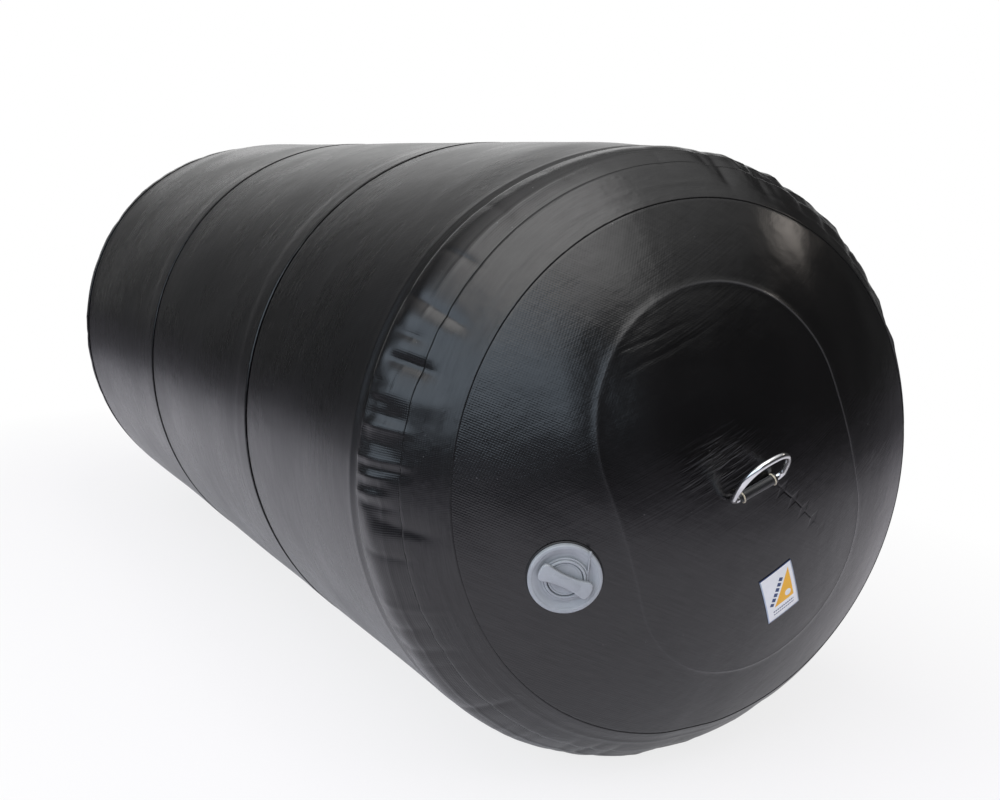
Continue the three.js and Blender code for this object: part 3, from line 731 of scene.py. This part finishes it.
def coated_fabric(name, use, rough, weave_pitch, weave_height, streak, dent):
    """Black coated cloth; use is "tube", "skirt", "tape" or "face", for an end's face."""
    material, tree, shader = new_material(name)
    place = tree.object_place()
    x, y, z = tree.parts(place)
    up = tree.minus(z, AXIS_HEIGHT)
    around = tree.vector(tree.times(tree.math("ARCTAN2", y, up), BODY_RADIUS), x)
    plane = around
    cloud = tree.noise(place, 9.0, 4.0, 0.55)
    streaks = tree.drawn_out(around, (6, 420), 4.0)
    colour = tree.mix(tree.remap(cloud, 0, 1), BLACK, SOFT_BLACK)
    colour = tree.mix(dust(tree, place), colour, DUST)
    relief = tree.bump(tree.noise(place, 34.0), dent)
    if use == "face":
        # Painted highlight: the patch's rim is drawn a little paler, most of all at the right
        face = tree.vector(y, z)
        plane = tree.mapped(face, Rotation=(0, 0, WEAVE_SLANT))
        rim_line = patch_rim_line(tree, y, up)
        colour = tree.mix(tree.times(rim_line, tree.remap(y, 0.18, 1, -60 * MM, 30 * MM)), colour, PAINTED_RIM_HIGHLIGHT)
        relief = end_face_wrinkles(tree, y, face, rim_line, relief)
    if use == "tape":
        wrinkles = tree.remap(tree.drawn_out(around, (70, 300), 2.0, 0.5), 0, 1, 0.55, 0.8)
        relief = tree.bump(wrinkles, 0.16 * MM, 1.0, relief)
    if use == "tube":
        gloss = adhesive_gloss(tree, x, around)
    else:
        # Fine scuffs change the gloss a little
        gloss = tree.remap(tree.drawn_out(plane, (30, 520), 3.0, 0.65), 0.54, 0.66)
    relief = tree.bump(streaks, 0.06 * MM, 0.6, relief)
    relief = tree.bump(weave(tree, plane, weave_pitch, y, up), weave_height, 1.0, relief)
    relief = tree.bump(tree.noise(place, 900.0, 2.0), 0.05 * MM, 0.6, relief)
    roughness = tree.remap(cloud, rough - 0.035, rough + 0.045)
    roughness = tree.plus(roughness, tree.remap(streaks, -streak, streak))
    tree.feed(shader, {"Base Color": colour, "Roughness": roughness, "Specular IOR Level": gloss,
                       "Normal": relief})
    return material


tube_fabric = coated_fabric("tube_fabric", "tube", 0.28, 1.7 * MM, 0.05 * MM, 0.03, 0.5 * MM)
cap_fabric = coated_fabric("cap_fabric", "face", 0.22, 2.1 * MM, 0.11 * MM, 0.0, 0.7 * MM)
skirt_fabric = coated_fabric("skirt_fabric", "skirt", 0.24, 2.1 * MM, 0.10 * MM, 0.0, 0.7 * MM)
tape_fabric = coated_fabric("tape_fabric", "tape", 0.24, 1.8 * MM, 0.06 * MM, 0.01, 0.7 * MM)

for piece in panels:
    piece.data.materials.append(tube_fabric)
for piece, fabric in ((dome_near, cap_fabric), (dome_far, cap_fabric),
                      (skirt_near, skirt_fabric), (skirt_far, skirt_fabric)):
    piece.data.materials.append(fabric)
for piece in (tape_near, tape_far):
    piece.data.materials.append(tape_fabric)

# %% [markdown]
# ## Tools for the fittings
#
# The small hard pieces are made in their own frame, where Z points out of the skin, and are then set
# on the dome. Three tools are enough: a turned outline, a flat outline with a thickness, and a round
# section led along a path. Corners are rounded in the outline, because nothing moulded is sharp.

# %% Tools for the fittings
def place_matrix(origin, x_axis, z_axis):
    z = Vector(z_axis).normalized()
    x = Vector(x_axis)
    x = (x - z * x.dot(z)).normalized()
    turn = Matrix((x, z.cross(x), z)).transposed().to_4x4()
    return Matrix.Translation(Vector(origin)) @ turn


def dome_height(y, z):
    return SEAM_PLANE + DOME_RISE * (1 - (y * y + z * z) / END_SEAM_RADIUS ** 2)


def rounded(points, radius, count=4):
    """A closed outline with each corner replaced by a short curve."""
    line = []
    for before, corner, after in zip(points[-1:] + points[:-1], points, points[1:] + points[:1]):
        corner = Vector(corner)
        ends = []
        for other in (before, after):
            side = Vector(other) - corner
            ends.append(corner + side * min(radius / side.length, 0.45))
        for k in range(count + 1):
            t = k / count
            line.append(ends[0] * (1 - t) ** 2 + corner * 2 * t * (1 - t) + ends[1] * t ** 2)
    return line


def finished(name, mesh, matrix, material, slot, body, *nodes):
    bmesh.ops.remove_doubles(mesh, verts=mesh.verts, dist=0.001 * MM)
    bmesh.ops.recalc_face_normals(mesh, faces=mesh.faces)
    bmesh.ops.transform(mesh, matrix=matrix, verts=mesh.verts)
    data = bpy.data.meshes.new(name)
    mesh.to_mesh(data)
    mesh.free()
    data.shade_smooth()
    data.materials.append(material)
    piece = bpy.data.objects.new(name, data)
    bpy.context.scene.collection.objects.link(piece)
    if nodes:
        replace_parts(piece, *nodes)
    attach(piece, body)
    print(name, len(data.polygons), "faces")
    return piece


def lathe(mesh, outline, steps=96):
    """Spin a closed outline of (radius, height) points in mm about local Z."""
    corners = [mesh.verts.new((radius * MM, 0, height * MM)) for radius, height in outline]
    edges = [mesh.edges.new(pair) for pair in zip(corners, corners[1:] + corners[:1])]
    bmesh.ops.spin(mesh, geom=corners + edges, cent=(0, 0, 0), axis=(0, 0, 1),
                   angle=2 * math.pi, steps=steps, use_merge=True)


def prism(mesh, outline, bottom, top, edge):
    """Give a closed flat outline, in mm, a thickness and rounded edges."""
    corners = [mesh.verts.new((x * MM, y * MM, bottom * MM)) for x, y in outline]
    face = mesh.faces.new(corners)
    risen = bmesh.ops.extrude_face_region(mesh, geom=[face])["geom"]
    upper = [v for v in risen if isinstance(v, bmesh.types.BMVert)]
    bmesh.ops.translate(mesh, vec=(0, 0, (top - bottom) * MM), verts=upper)
    upper_set = set(upper)
    rims = [e for v in upper for e in v.link_edges if all(w in upper_set for w in e.verts)]
    if edge:
        bmesh.ops.bevel(mesh, geom=list(set(rims)), offset=edge * MM, offset_type="OFFSET", affect="EDGES",
                        segments=3, profile=0.5, material=-1)


def swept(mesh, path, radius, sides, upright, closed=False):
    """Lead a round section along a path, in mm; upright keeps it from twisting."""
    frames = []
    for k, point in enumerate(path):
        before = path[k - 1] if k or closed else path[0]
        after = path[(k + 1) % len(path)] if k + 1 < len(path) or closed else path[-1]
        frames.append(place_matrix(Vector(point) * MM, upright, Vector(after) - Vector(before)))
    loop = bmesh.ops.create_circle(mesh, segments=sides, radius=radius * MM, matrix=frames[0])["verts"]
    first = [e for e in {e for v in loop for e in v.link_edges}]
    edges = first
    for previous, frame_now in zip(frames, frames[1:]):
        grown = bmesh.ops.extrude_edge_only(mesh, edges=edges)["geom"]
        ring = [v for v in grown if isinstance(v, bmesh.types.BMVert)]
        edges = [e for e in grown if isinstance(e, bmesh.types.BMEdge) and all(v in ring for v in e.verts)]
        bmesh.ops.transform(mesh, matrix=frame_now @ previous.inverted(), verts=ring)
    if closed:
        bmesh.ops.bridge_loops(mesh, edges=first + edges)
    else:
        bmesh.ops.holes_fill(mesh, edges=first + edges)


# %% [markdown]
# ## Finishes of the fittings
#
# Polished steel is a mirror with faint scratches. The valve is moulded plastic, pale blue-grey, with
# a slightly mottled, satin surface. Webbing and thread get their ribs and twist from waves.

# %% Finishes of the fittings
def speckled(name, dark, light, rough, grain_size, relief_height, scratches=0.0):
    """A hard finish: two close colours in soft clouds, fine grain and, on metal, fine scratches."""
    material, tree, shader = new_material(name)
    place = tree.object_place()
    cloud = tree.noise(place, 60.0, 4.0, 0.6)
    roughness = tree.remap(cloud, rough * 0.85, rough * 1.2)
    relief = tree.bump(tree.noise(place, 1.0 / grain_size, 3.0, 0.6), relief_height, 0.6)
    if scratches:
        lines = tree.noise(tree.mapped(place, Scale=(90, 1400, 1400)), 1.0, 2.0, 0.7)
        roughness = tree.plus(roughness, tree.remap(lines, 0, scratches, 0.5, 0.8))
        relief = tree.bump(lines, 0.02 * MM, 0.5, relief)
    tree.feed(shader, {"Base Color": tree.mix(tree.remap(cloud, 0, 1), dark, light), "Roughness": roughness,
                       "Metallic": 1.0 if scratches else 0.0, "Normal": relief})
    return material


def ribbed(name, dark, light, rough, rib, relief_height, turn):
    """Webbing or thread: fine parallel ribs with lint-like variation."""
    material, tree, shader = new_material(name)
    place = tree.object_place()
    ribs = tree.add("TexWave", "Fac", {"Vector": tree.mapped(place, Rotation=(turn, 0, 0)), "Distortion": 0.4,
                                       "Scale": WAVE_UNIT / rib, "Detail": 1.0}, bands_direction="Y")
    lint = tree.noise(place, 700.0, 3.0, 0.6)
    tint = tree.mix(tree.remap(tree.times(ribs, lint), 0, 1, 0.05, 0.6), dark, light)
    relief = tree.bump(lint, relief_height * 0.5, 0.7, tree.bump(ribs, relief_height))
    tree.feed(shader, {"Base Color": tint, "Roughness": rough, "Sheen Weight": 0.25, "Normal": relief})
    return material


polished_steel = speckled("polished_steel", (0.60, 0.60, 0.61), (0.78, 0.78, 0.79), 0.14, 0.6 * MM, 0.02 * MM,
                          scratches=0.12)
valve_plastic = speckled("valve_plastic", (0.33, 0.345, 0.365), (0.39, 0.405, 0.425), 0.42, 0.5 * MM,
                         0.03 * MM)
black_rubber = speckled("black_rubber", (0.012, 0.012, 0.013), (0.022, 0.022, 0.023), 0.55, 0.4 * MM,
                        0.04 * MM)
strap_webbing = ribbed("strap_webbing", (0.003, 0.003, 0.003), (0.014, 0.014, 0.015), 0.36, 1.6 * MM,
                       0.14 * MM, -bar_angle)
cream_thread = ribbed("cream_thread", (0.52, 0.44, 0.30), (0.86, 0.80, 0.66), 0.6, 0.7 * MM, 0.15 * MM, 0.6)

# %% [markdown]
# ## Rings and their straps
#
# A steel ring in the shape of a D hangs in a loop of webbing. The ring is one round wire bent along a
# path: the straight bar in the loop and the bow, which is a squarish half oval. The strap is a ribbon
# led round the bar and back through the skin, and a few turns of cream thread close each of its ends.

# %% Rings and their straps
WIRE = 6.0
RING_HALF = 28.4
RING_DEPTH = 47.4
RING_CORNER = 6.5
BAR_HEIGHT = 5.6
STRAP_WIDTH = 41.0
STRAP_THICK = 1.2
LOOP_RADIUS = WIRE / 2 + 0.3 + STRAP_THICK / 2
STEM_HALF = 0.75
FOOT_DEPTH = 5.9
FOOT_REACH = 20.0
THREAD = 0.36


def ring_path():
    bow = []
    count = 72
    for k in range(count + 1):
        angle = math.radians(5 + 170 * k / count)
        across = abs(math.cos(angle)) ** (2 / 2.6) * math.copysign(1, math.cos(angle))
        bow.append((RING_HALF * across, RING_DEPTH * math.sin(angle) ** (2 / 2.6), 0))
    corner = [(RING_HALF - RING_CORNER * (1 - math.sin(a)), RING_CORNER * (1 - math.cos(a)), 0)
              for a in np.radians(np.linspace(0, 80, 9))]
    bar = [(x, 0, 0) for x in np.linspace(-RING_HALF + RING_CORNER + 1, RING_HALF - RING_CORNER - 1, 12)]
    return bar + corner + bow + [(-x, y, 0) for x, y, _ in corner[::-1]]


def ribbon_line():
    """The strap's middle line in its (up, out) plane: a foot, the stem, the loop and back."""
    lean = math.degrees(math.asin(STEM_HALF / LOOP_RADIUS))
    angles = np.radians(np.linspace(-90 + lean, 270 - lean, 40))
    loop = [(LOOP_RADIUS * math.cos(a), BAR_HEIGHT + LOOP_RADIUS * math.sin(a)) for a in angles]
    bend = [(STEM_HALF + 1.4 * (1 - math.cos(a)), -FOOT_DEPTH + 1.4 * (1 - math.sin(a)))
            for a in np.radians(np.linspace(0, 90, 5))]
    foot = [(x, -FOOT_DEPTH) for x in np.linspace(FOOT_REACH, STEM_HALF + 2.4, 8)]
    half = foot + bend[::-1]
    return half + loop + [(-x, z) for x, z in half[::-1]]


def ring_pieces(end, side, y, z, bar_turn, tilt):
    origin = (side * dome_height(y, z), y, AXIS_HEIGHT + z)
    place = place_matrix(origin, (0, math.cos(bar_turn), math.sin(bar_turn)), (side, 0, 0))
    mesh = bmesh.new()
    swept(mesh, ring_path(), WIRE / 2, 28, (0, 0, 1), closed=True)
    swing = Matrix.Translation((0, 0, BAR_HEIGHT * MM)) @ Matrix.Rotation(tilt, 4, "X")
    finished("steel_ring_" + end, mesh, place @ swing, polished_steel, "steel", "ring_" + end,
             "d_ring_" + end)

    # Painted shade: a dull black block where the strap goes into the skin draws the shadowed gap of its slot
    mesh = bmesh.new()
    half, rim = STRAP_WIDTH / 2 + 0.6, 2.2
    prism(mesh, rounded([(-half, -rim), (half, -rim), (half, rim), (-half, rim)], 1.0), -0.8, 1.25, 0.3)
    finished("painted_slot_shade_" + end, mesh, place, black_rubber, "patch", "shell")

    mesh = bmesh.new()
    line = ribbon_line()
    corners = [mesh.verts.new((-STRAP_WIDTH / 2 * MM, up * MM, out * MM)) for up, out in line]
    edges = [mesh.edges.new(pair) for pair in zip(corners, corners[1:])]
    slices = 40
    for k in range(slices):
        grown = bmesh.ops.extrude_edge_only(mesh, edges=edges)["geom"]
        ring = [v for v in grown if isinstance(v, bmesh.types.BMVert)]
        bmesh.ops.translate(mesh, vec=(STRAP_WIDTH / slices * MM, 0, 0), verts=ring)
        edges = [e for e in grown if isinstance(e, bmesh.types.BMEdge) and all(v in ring for v in e.verts)]
    strap = finished("strap_" + end, mesh, place, strap_webbing, "webbing", "shell", "ring_strap_" + end)
    wall = strap.modifiers.new("webbing", "SOLIDIFY")
    wall.thickness = STRAP_THICK * MM
    wall.offset = 0
    soft = strap.modifiers.new("selvedge", "BEVEL")
    soft.width = 0.25 * MM
    soft.segments = 2

    for number, across in ((1, -1), (2, 1)):
        mesh = bmesh.new()
        reach = LOOP_RADIUS + STRAP_THICK / 2 + 0.25 + THREAD
        for strand in range(3):
            path = []
            for k in range(37):
                angle = math.radians(-30 + 236 * k / 36)
                twist = 2 * math.pi * (strand / 3 + 5 * k / 36)
                r = reach + 0.25 * math.cos(twist)
                x = across * (STRAP_WIDTH / 2 - 3) + 0.42 * math.sin(twist)
                path.append((x, r * math.cos(angle), BAR_HEIGHT + r * math.sin(angle)))
            swept(mesh, path, THREAD, 8, (1, 0, 0))
        finished("thread_loop_%s_%d" % (end, number), mesh, place, cream_thread, "thread", "shell",
                 "bar_tack_%s_%d" % (end, number))


ring_pieces("near", 1, -4.9 * MM, 6.2 * MM, bar_angle, math.radians(44))
ring_pieces("far", -1, 0, 0, 0, 0)

# %% [markdown]
# ## The valve
#
# The valve is a moulded flange with a raised lip, a dish and a collar in the middle. A cap with a grip
# like a bow tie turns in the collar, and a thin leash keeps the cap on the valve. A black ring round
# the flange's rim makes a dark line where the flange meets the skin. All of it is turned outlines, in mm from
# the skin.

# %% The valve
VALVE_Y = -168 * MM
VALVE_Z = -65 * MM
GRIP_TURN = math.radians(-21.6)
valve_slope = 2 * DOME_RISE / END_SEAM_RADIUS ** 2
valve_out = Vector((1, valve_slope * VALVE_Y, valve_slope * VALVE_Z)).normalized()
valve_origin = (dome_height(VALVE_Y, VALVE_Z), VALVE_Y, AXIS_HEIGHT + VALVE_Z)
valve_place = place_matrix(valve_origin, (0, 1, 0), valve_out)
grip_turn = Matrix.Rotation(GRIP_TURN, 2)

flange_outline = [
    (17, -20), (17, 0.3), (31.2, -0.2), (32.5, 0.2), (32.5, 4.9), (31.7, 5.6), (29.2, 5.6), (28.4, 4.9),
    (26.6, 4.3), (23.4, 2.5), (20.6, 2.1), (18.6, 2.1), (18.4, 5.0), (17.9, 5.8), (16.4, 5.8), (16.0, 5.3),
    (16.0, -14), (2.3, -14), (2.3, -16), (15.2, -16), (15.2, -20),
]
dark_ring_outline = [(28, -0.6), (33.6, -1.0), (34.0, -0.2), (33.2, 0.9), (32.7, 0.9), (32.7, -0.1), (28, 0.1)]
cap_outline = [(0.02, -2.6), (13, -2.6), (13, 1.4), (15.4, 1.4), (15.4, 4.1), (14.9, 4.6), (13.6, 4.6),
               (13.2, 4.2), (0.02, 4.2)]

mesh = bmesh.new()
lathe(mesh, rounded(flange_outline, 0.5), 128)
finished("valve_flange", mesh, valve_place, valve_plastic, "valve", "shell", "valve_body")

# A black ring round the flange's rim, which makes the dark line where the flange meets the skin
mesh = bmesh.new()
lathe(mesh, rounded(dark_ring_outline, 0.2), 128)
finished("valve_dark_ring", mesh, valve_place, black_rubber, "seal", "shell")

# %% The valve's cap and its grip
GRIP_HALF = 24.5
GRIP_END = 8.0
GRIP_WAIST = 5.3
GRIP_ROUND = 5.0


def grip_outline():
    """Half of the bow tie is a long waisted side and one rounded end; the other half is its turn."""
    corner = GRIP_HALF - GRIP_ROUND
    half = []
    for k in range(25):
        x = -corner + 2 * corner * k / 24
        half.append((x, -(GRIP_WAIST + (GRIP_END - GRIP_WAIST) * (x / corner) ** 2)))
    for k in range(1, 16):
        angle = math.radians(-90 + 180 * k / 16)
        up = math.copysign(abs(math.sin(angle)) ** 0.80, math.sin(angle))
        half.append((corner + GRIP_ROUND * abs(math.cos(angle)) ** 0.72, GRIP_END * up))
    return half + [(-x, -y) for x, y in half]


mesh = bmesh.new()
lathe(mesh, rounded(cap_outline, 0.3), 96)
prism(mesh, [grip_turn @ Vector(point) for point in grip_outline()], 6.2, 10.4, 0.9)
web = Matrix.Translation((0, 0, 5.2 * MM)) @ Matrix.Diagonal((23 * MM, 7 * MM, 2.4 * MM, 1))
bmesh.ops.create_cube(mesh, size=1, matrix=Matrix.Rotation(GRIP_TURN, 4, "Z") @ web)
raised_panel = [grip_turn @ Vector(point) for point in ((-13, -3.4), (13, -3.4), (13, 3.4), (-13, 3.4))]
prism(mesh, rounded(raised_panel, 0.8), 10.2, 10.65, 0.2)
finished("valve_grip", mesh, valve_place, valve_plastic, "valve", "valve_cap", "valve_cap")

# %% The valve's tether
TETHER_X = 19.0
tether_ring = [(18.7, 2.5), (20.3, 2.5), (20.3, 4.5), (18.7, 4.5)]
tether_side = [(4.7, 2.7), (18.0, 3.1), (22.0, 4.4), (26.0, 5.9), (28.9, 5.9), (28.9, 8.6), (25.6, 8.6),
               (22.4, 5.8), (18.0, 5.7), (4.7, 4.7)]

mesh = bmesh.new()
lathe(mesh, rounded(tether_ring, 0.4), 96)
prism(mesh, rounded(tether_side, 0.5, 2), -0.65, 0.65, 0)
# The flat strip is stood upright beside the collar, and its end widens to a knob over the lip
strip = [v for v in mesh.verts if abs(v.co.z) < 0.7 * MM and v.co.y < 9 * MM]
stand = Matrix(((0, 0, 1, TETHER_X * MM), (1, 0, 0, 0), (0, 1, 0, 0), (0, 0, 0, 1)))
bmesh.ops.transform(mesh, matrix=stand, verts=strip)
knob = [v for v in strip if v.co.y > 27 * MM]
bmesh.ops.scale(mesh, vec=(1.6, 1, 1), space=Matrix.Translation((-TETHER_X * MM, 0, 0)), verts=knob)
finished("valve_tether", mesh, valve_place, valve_plastic, "valve", "shell", "valve_leash")

# %% [markdown]
# ## The plate on the dome
#
# A small printed plate is glued low on the near dome. It is a thin sheet that follows the dome, with
# a plain pattern that a shader draws in the plate's own plane: a golden wedge with a round hole, a
# dashed navy stripe beside it and two dashed lines below.

# %% The plate
PLATE_Y = 42.9 * MM
PLATE_Z = -101.5 * MM
PLATE_TURN = math.radians(28.2)
PLATE_WIDTH = 38 * MM
PLATE_HEIGHT = 55 * MM
PLATE_LIFT = 0.35 * MM
STRIPE_TURN = math.radians(56)
GOLD = (0.98, 0.50, 0.02)
NAVY = (0.02, 0.05, 0.16)
PRINT_AND_SHADOW_BLUE = (0.03, 0.05, 0.13)
FRAME_AND_LIT_RIM_GREY = (0.42, 0.48, 0.60)

mesh = bmesh.new()
bmesh.ops.create_grid(mesh, x_segments=20, y_segments=28, size=0.5)
for v in mesh.verts:
    y, z, _ = Matrix.Rotation(PLATE_TURN, 3, "Z") @ Vector((v.co.x * PLATE_WIDTH, v.co.y * PLATE_HEIGHT, 0))
    y += PLATE_Y
    z += PLATE_Z
    lift = PLATE_LIFT + float(dome_relief(np.array(y), np.array(z)))
    v.co = (dome_height(y, z) + lift, y, AXIS_HEIGHT + z)


def printed_plate():
    """White film with a blue-grey border, its own edge colour made paler as a painted highlight of its raised
    rim, a painted shadow along its top, and the printed pattern; all its places are in mm from its middle.
    """
    material, tree, shader = new_material("printed_plate")
    place = tree.object_place()
    centred = tree.mapped(place, "TEXTURE", Location=(0, PLATE_Y, AXIS_HEIGHT + PLATE_Z),
                          Rotation=(PLATE_TURN, 0, 0))
    _, x, y = tree.parts(centred)

    def above(value, low):
        return tree.math("GREATER_THAN", value, low * MM)

    def between(value, low, high):
        return tree.times(above(value, low), tree.math("LESS_THAN", value, high * MM))

    def dashes(value, pitch, gap):
        return above(tree.math("PINGPONG", value, pitch * MM), gap)

    along, across = tree.turned(x, y, STRIPE_TURN)
    from_hole = tree.length(tree.vector(tree.minus(x, 8 * MM), tree.plus(y, 6 * MM)))
    wedge = tree.times(between(across, -40, 0.6), between(x, -20, 14), between(y, -13, 40),
                       above(from_hole, 3.6))
    stripe = tree.times(between(across, 3.0, 7.4), between(along, -15, 17), dashes(along, 2.7, 0.8))
    lines = [tree.times(between(y, low, high), between(x, -12, 13), dashes(x, 1.2, 0.4))
             for low, high in ((-18.6, -17.0), (-22.0, -20.8))]
    # The border at the sides and bottom: the plate's edge colour, paler as a painted highlight of its raised
    # rim
    edge = tree.larger(above(tree.size(x), 17.8), tree.math("LESS_THAN", y, -26.4 * MM))
    film = tree.mix(tree.noise(place, 220.0), (0.86, 0.87, 0.88), (0.94, 0.95, 0.96))
    # The dark band along the top is a painted shadow along the plate's top edge; the two dashed lines are
    # print
    for share, colour in ((wedge, GOLD), (stripe, NAVY), (lines[0], PRINT_AND_SHADOW_BLUE), (lines[1], PRINT_AND_SHADOW_BLUE),
                          (edge, FRAME_AND_LIT_RIM_GREY), (above(y, 26.3), PRINT_AND_SHADOW_BLUE)):
        film = tree.mix(share, film, colour)
    tree.feed(shader, {"Base Color": film, "Roughness": tree.remap(tree.noise(place, 90.0), 0.3, 0.42),
                       "Normal": tree.bump(tree.noise(place, 400.0), 0.04 * MM)})
    return material


plate = finished("plate", mesh, Matrix(), printed_plate(), "label", "shell", "label_plate")
film_wall = plate.modifiers.new("film", "SOLIDIFY")
film_wall.thickness = 0.3 * MM
film_wall.offset = 1

# %% [markdown]
# ## Finishes of the hidden pieces
#
# The inner tapes, the ring patches and the valve's inside keep their measured shapes. They are inside
# the skin, but another user may open the part up, so each has the finish of its real material. In the
# valve the spring stands on the web of the barrel and gives way to the poppet's head; here it keeps its
# measured shape and only gets a mesh of its own.

# %% Finishes of the hidden pieces
hidden_finishes = {
    "inner_tape_near": tape_fabric, "inner_tape_far": tape_fabric,
    "ring_patch_near": cap_fabric, "ring_patch_far": cap_fabric,
    "valve_gasket": black_rubber, "valve_diaphragm": black_rubber, "valve_cap_seal": black_rubber,
    "valve_nut": valve_plastic, "valve_poppet": valve_plastic, "valve_spring": polished_steel,
}
for node, material in hidden_finishes.items():
    data = bpy.data.objects[node].data
    data.materials.clear()
    data.materials.append(material)
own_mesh(bpy.data.objects["valve_spring"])
print(len(hidden_finishes), "hidden pieces finished")

# %% [markdown]
# ## Lamps
#
# Black coated fabric is all reflection, so the lamps are the picture. A broad soft box hangs over the
# near end, made of three panels one inside the other, so that its mirrored edge is soft. Two tall
# windows stand on the left, from knee height up, and a small lamp at the right makes the bright spot
# at the top of the dome. The room behind the camera is dim, which leaves the dome's dark middle.

# %% Lamps
PLAIN_WHITE = (1.0, 0.995, 0.99)
SKY_WHITE = (0.72, 0.85, 1.0)
LAMP_WHITE = (1.0, 0.92, 0.84)
BOX_X = 1.9
BOX_Y = -1.1


def area_lamp(name, place, aim, width, height, radiance, colour):
    data = bpy.data.lights.new(name, "AREA")
    data.shape = "RECTANGLE"
    data.size = width
    data.size_y = height
    data.energy = radiance * math.pi * width * height
    data.color = colour
    lamp = bpy.data.objects.new(name, data)
    lamp.location = place
    lamp.rotation_euler = (Vector(aim) - Vector(place)).to_track_quat("-Z", "Y").to_euler()
    bpy.context.scene.collection.objects.link(lamp)


for name, height, width, depth, radiance in (("softbox_overhead", 3.1, 4.0, 3.5, 0.75),
                                             ("softbox_inner", 3.08, 3.55, 3.05, 0.65),
                                             ("softbox_middle", 3.06, 3.1, 2.6, 0.55)):
    area_lamp(name, (BOX_X, BOX_Y, height), (BOX_X, BOX_Y, 0), width, depth, radiance, PLAIN_WHITE)
area_lamp("window_left", (0.0, -3.2, 1.9), (0.0, 0, 1.9), 3.6, 2.3, 1.9, SKY_WHITE)
area_lamp("window_front", (3.12, -2.40, 1.95), (0.75, 0, 1.95), 3.4, 2.2, 1.9, SKY_WHITE)
area_lamp("lamp_right", (0.98, 2.19, 1.80), (0.75, 0, 0.5), 0.5, 0.25, 4.0, LAMP_WHITE)
print(len(bpy.data.lights), "lamps")

# %% [markdown]
# ## Floor
#
# The floor is white paper, painted grey farther from the fender as a painted pool of light round it, because
# the lower skin mirrors it. To the camera it fades to plain white a little way off, through the material's
# own
# Light Path node, and near the fender it has a painted glow that mirrored rays see as pale white. It keeps
# the fender's shadow.

# %% Floor
FLOOR_DROP = 0.5 * MM
PAPER = (0.95, 0.90, 0.99)
# Painted pool of light: the paper's colour far from the fender
PAINTED_DIM_FLOOR = (0.20, 0.19, 0.21)
# The painted pool of light on the paper is measured from a line under the tube, this far to each side of the
# middle
LINE_HALF = 0.7
FRONT_STRETCH = 1.6

floor_mesh = bmesh.new()
bmesh.ops.create_grid(floor_mesh, x_segments=1, y_segments=1, size=7)
floor_data = bpy.data.meshes.new("floor")
floor_mesh.to_mesh(floor_data)
floor_mesh.free()
floor = bpy.data.objects.new("floor", floor_data)
floor.location = (0, 0, -FLOOR_DROP)
bpy.context.scene.collection.objects.link(floor)

floor_material, tree, shader = new_material("pale_floor")
x, y, _ = tree.parts(tree.object_place())
past_front = tree.times(tree.larger(tree.minus(x, LINE_HALF), 0.0), FRONT_STRETCH)
past_back = tree.larger(tree.minus(-LINE_HALF, x), 0.0)
reach = tree.length(tree.vector(tree.plus(past_front, past_back), y))
# Painted pool of light: the paper's colour darkens to grey from 0.6 m to 2 m off
tree.feed(shader, {"Base Color": tree.mix(tree.remap(reach, 0, 1, 0.6, 2.0), PAPER, PAINTED_DIM_FLOOR),
                   "Roughness": 0.6, "Specular IOR Level": 0.1})
rays = tree.add("LightPath", None, {})
white = tree.add("Emission", 0, {"Strength": 1.0})
for_camera = tree.times(tree.remap(reach, 0.8, 1, 0.3, 0.9), rays["Is Camera Ray"])
# Painted glow: near the fender the floor shines white to mirrored rays
painted_glow_for_mirrors = tree.times(tree.remap(reach, 0.34, 0.0, 0.5, 1.6), tree.mirrored_ray(rays))
surface = tree.add("MixShader", 0, {0: tree.plus(for_camera, painted_glow_for_mirrors), 1: shader.outputs[0], 2: white})
tree.feed(tree.nodes["Material Output"], {"Surface": surface})
floor.data.materials.append(floor_material)

# %% [markdown]
# ## World
#
# The world is white for the camera. Mirrored rays see a bright backdrop behind the fender and a
# ceiling that grows paler upwards, and the world lights the object itself only a little.

# %% World
BACKDROP_SIDE = (-0.92, 0.39, 0)
WORLD_LIGHT = 0.35

world = bpy.data.worlds.new("studio")
world.use_nodes = True
bpy.context.scene.world = world
tree = Shading(world.node_tree)
direction = tree.add("TexCoord", "Generated", {})
rays = tree.add("LightPath", None, {})
ceiling = tree.remap(tree.parts(direction)[2], 0.05, 0.95, 0.5, 0.97)
behind = tree.add("VectorMath", "Value", {0: direction, 1: BACKDROP_SIDE}, operation="DOT_PRODUCT")
room = tree.larger(ceiling, tree.remap(behind, 0, 1.2, 0.84, 0.98))
diffuse = tree.times(rays["Is Diffuse Ray"], WORLD_LIGHT)
strength = tree.plus(tree.times(tree.mirrored_ray(rays), room), diffuse)
tree.feed(tree.nodes["Background"], {"Color": (1, 1, 1, 1),
                                     "Strength": tree.larger(strength, rays["Is Camera Ray"])})
bpy.context.scene.view_settings.view_transform = "Standard"
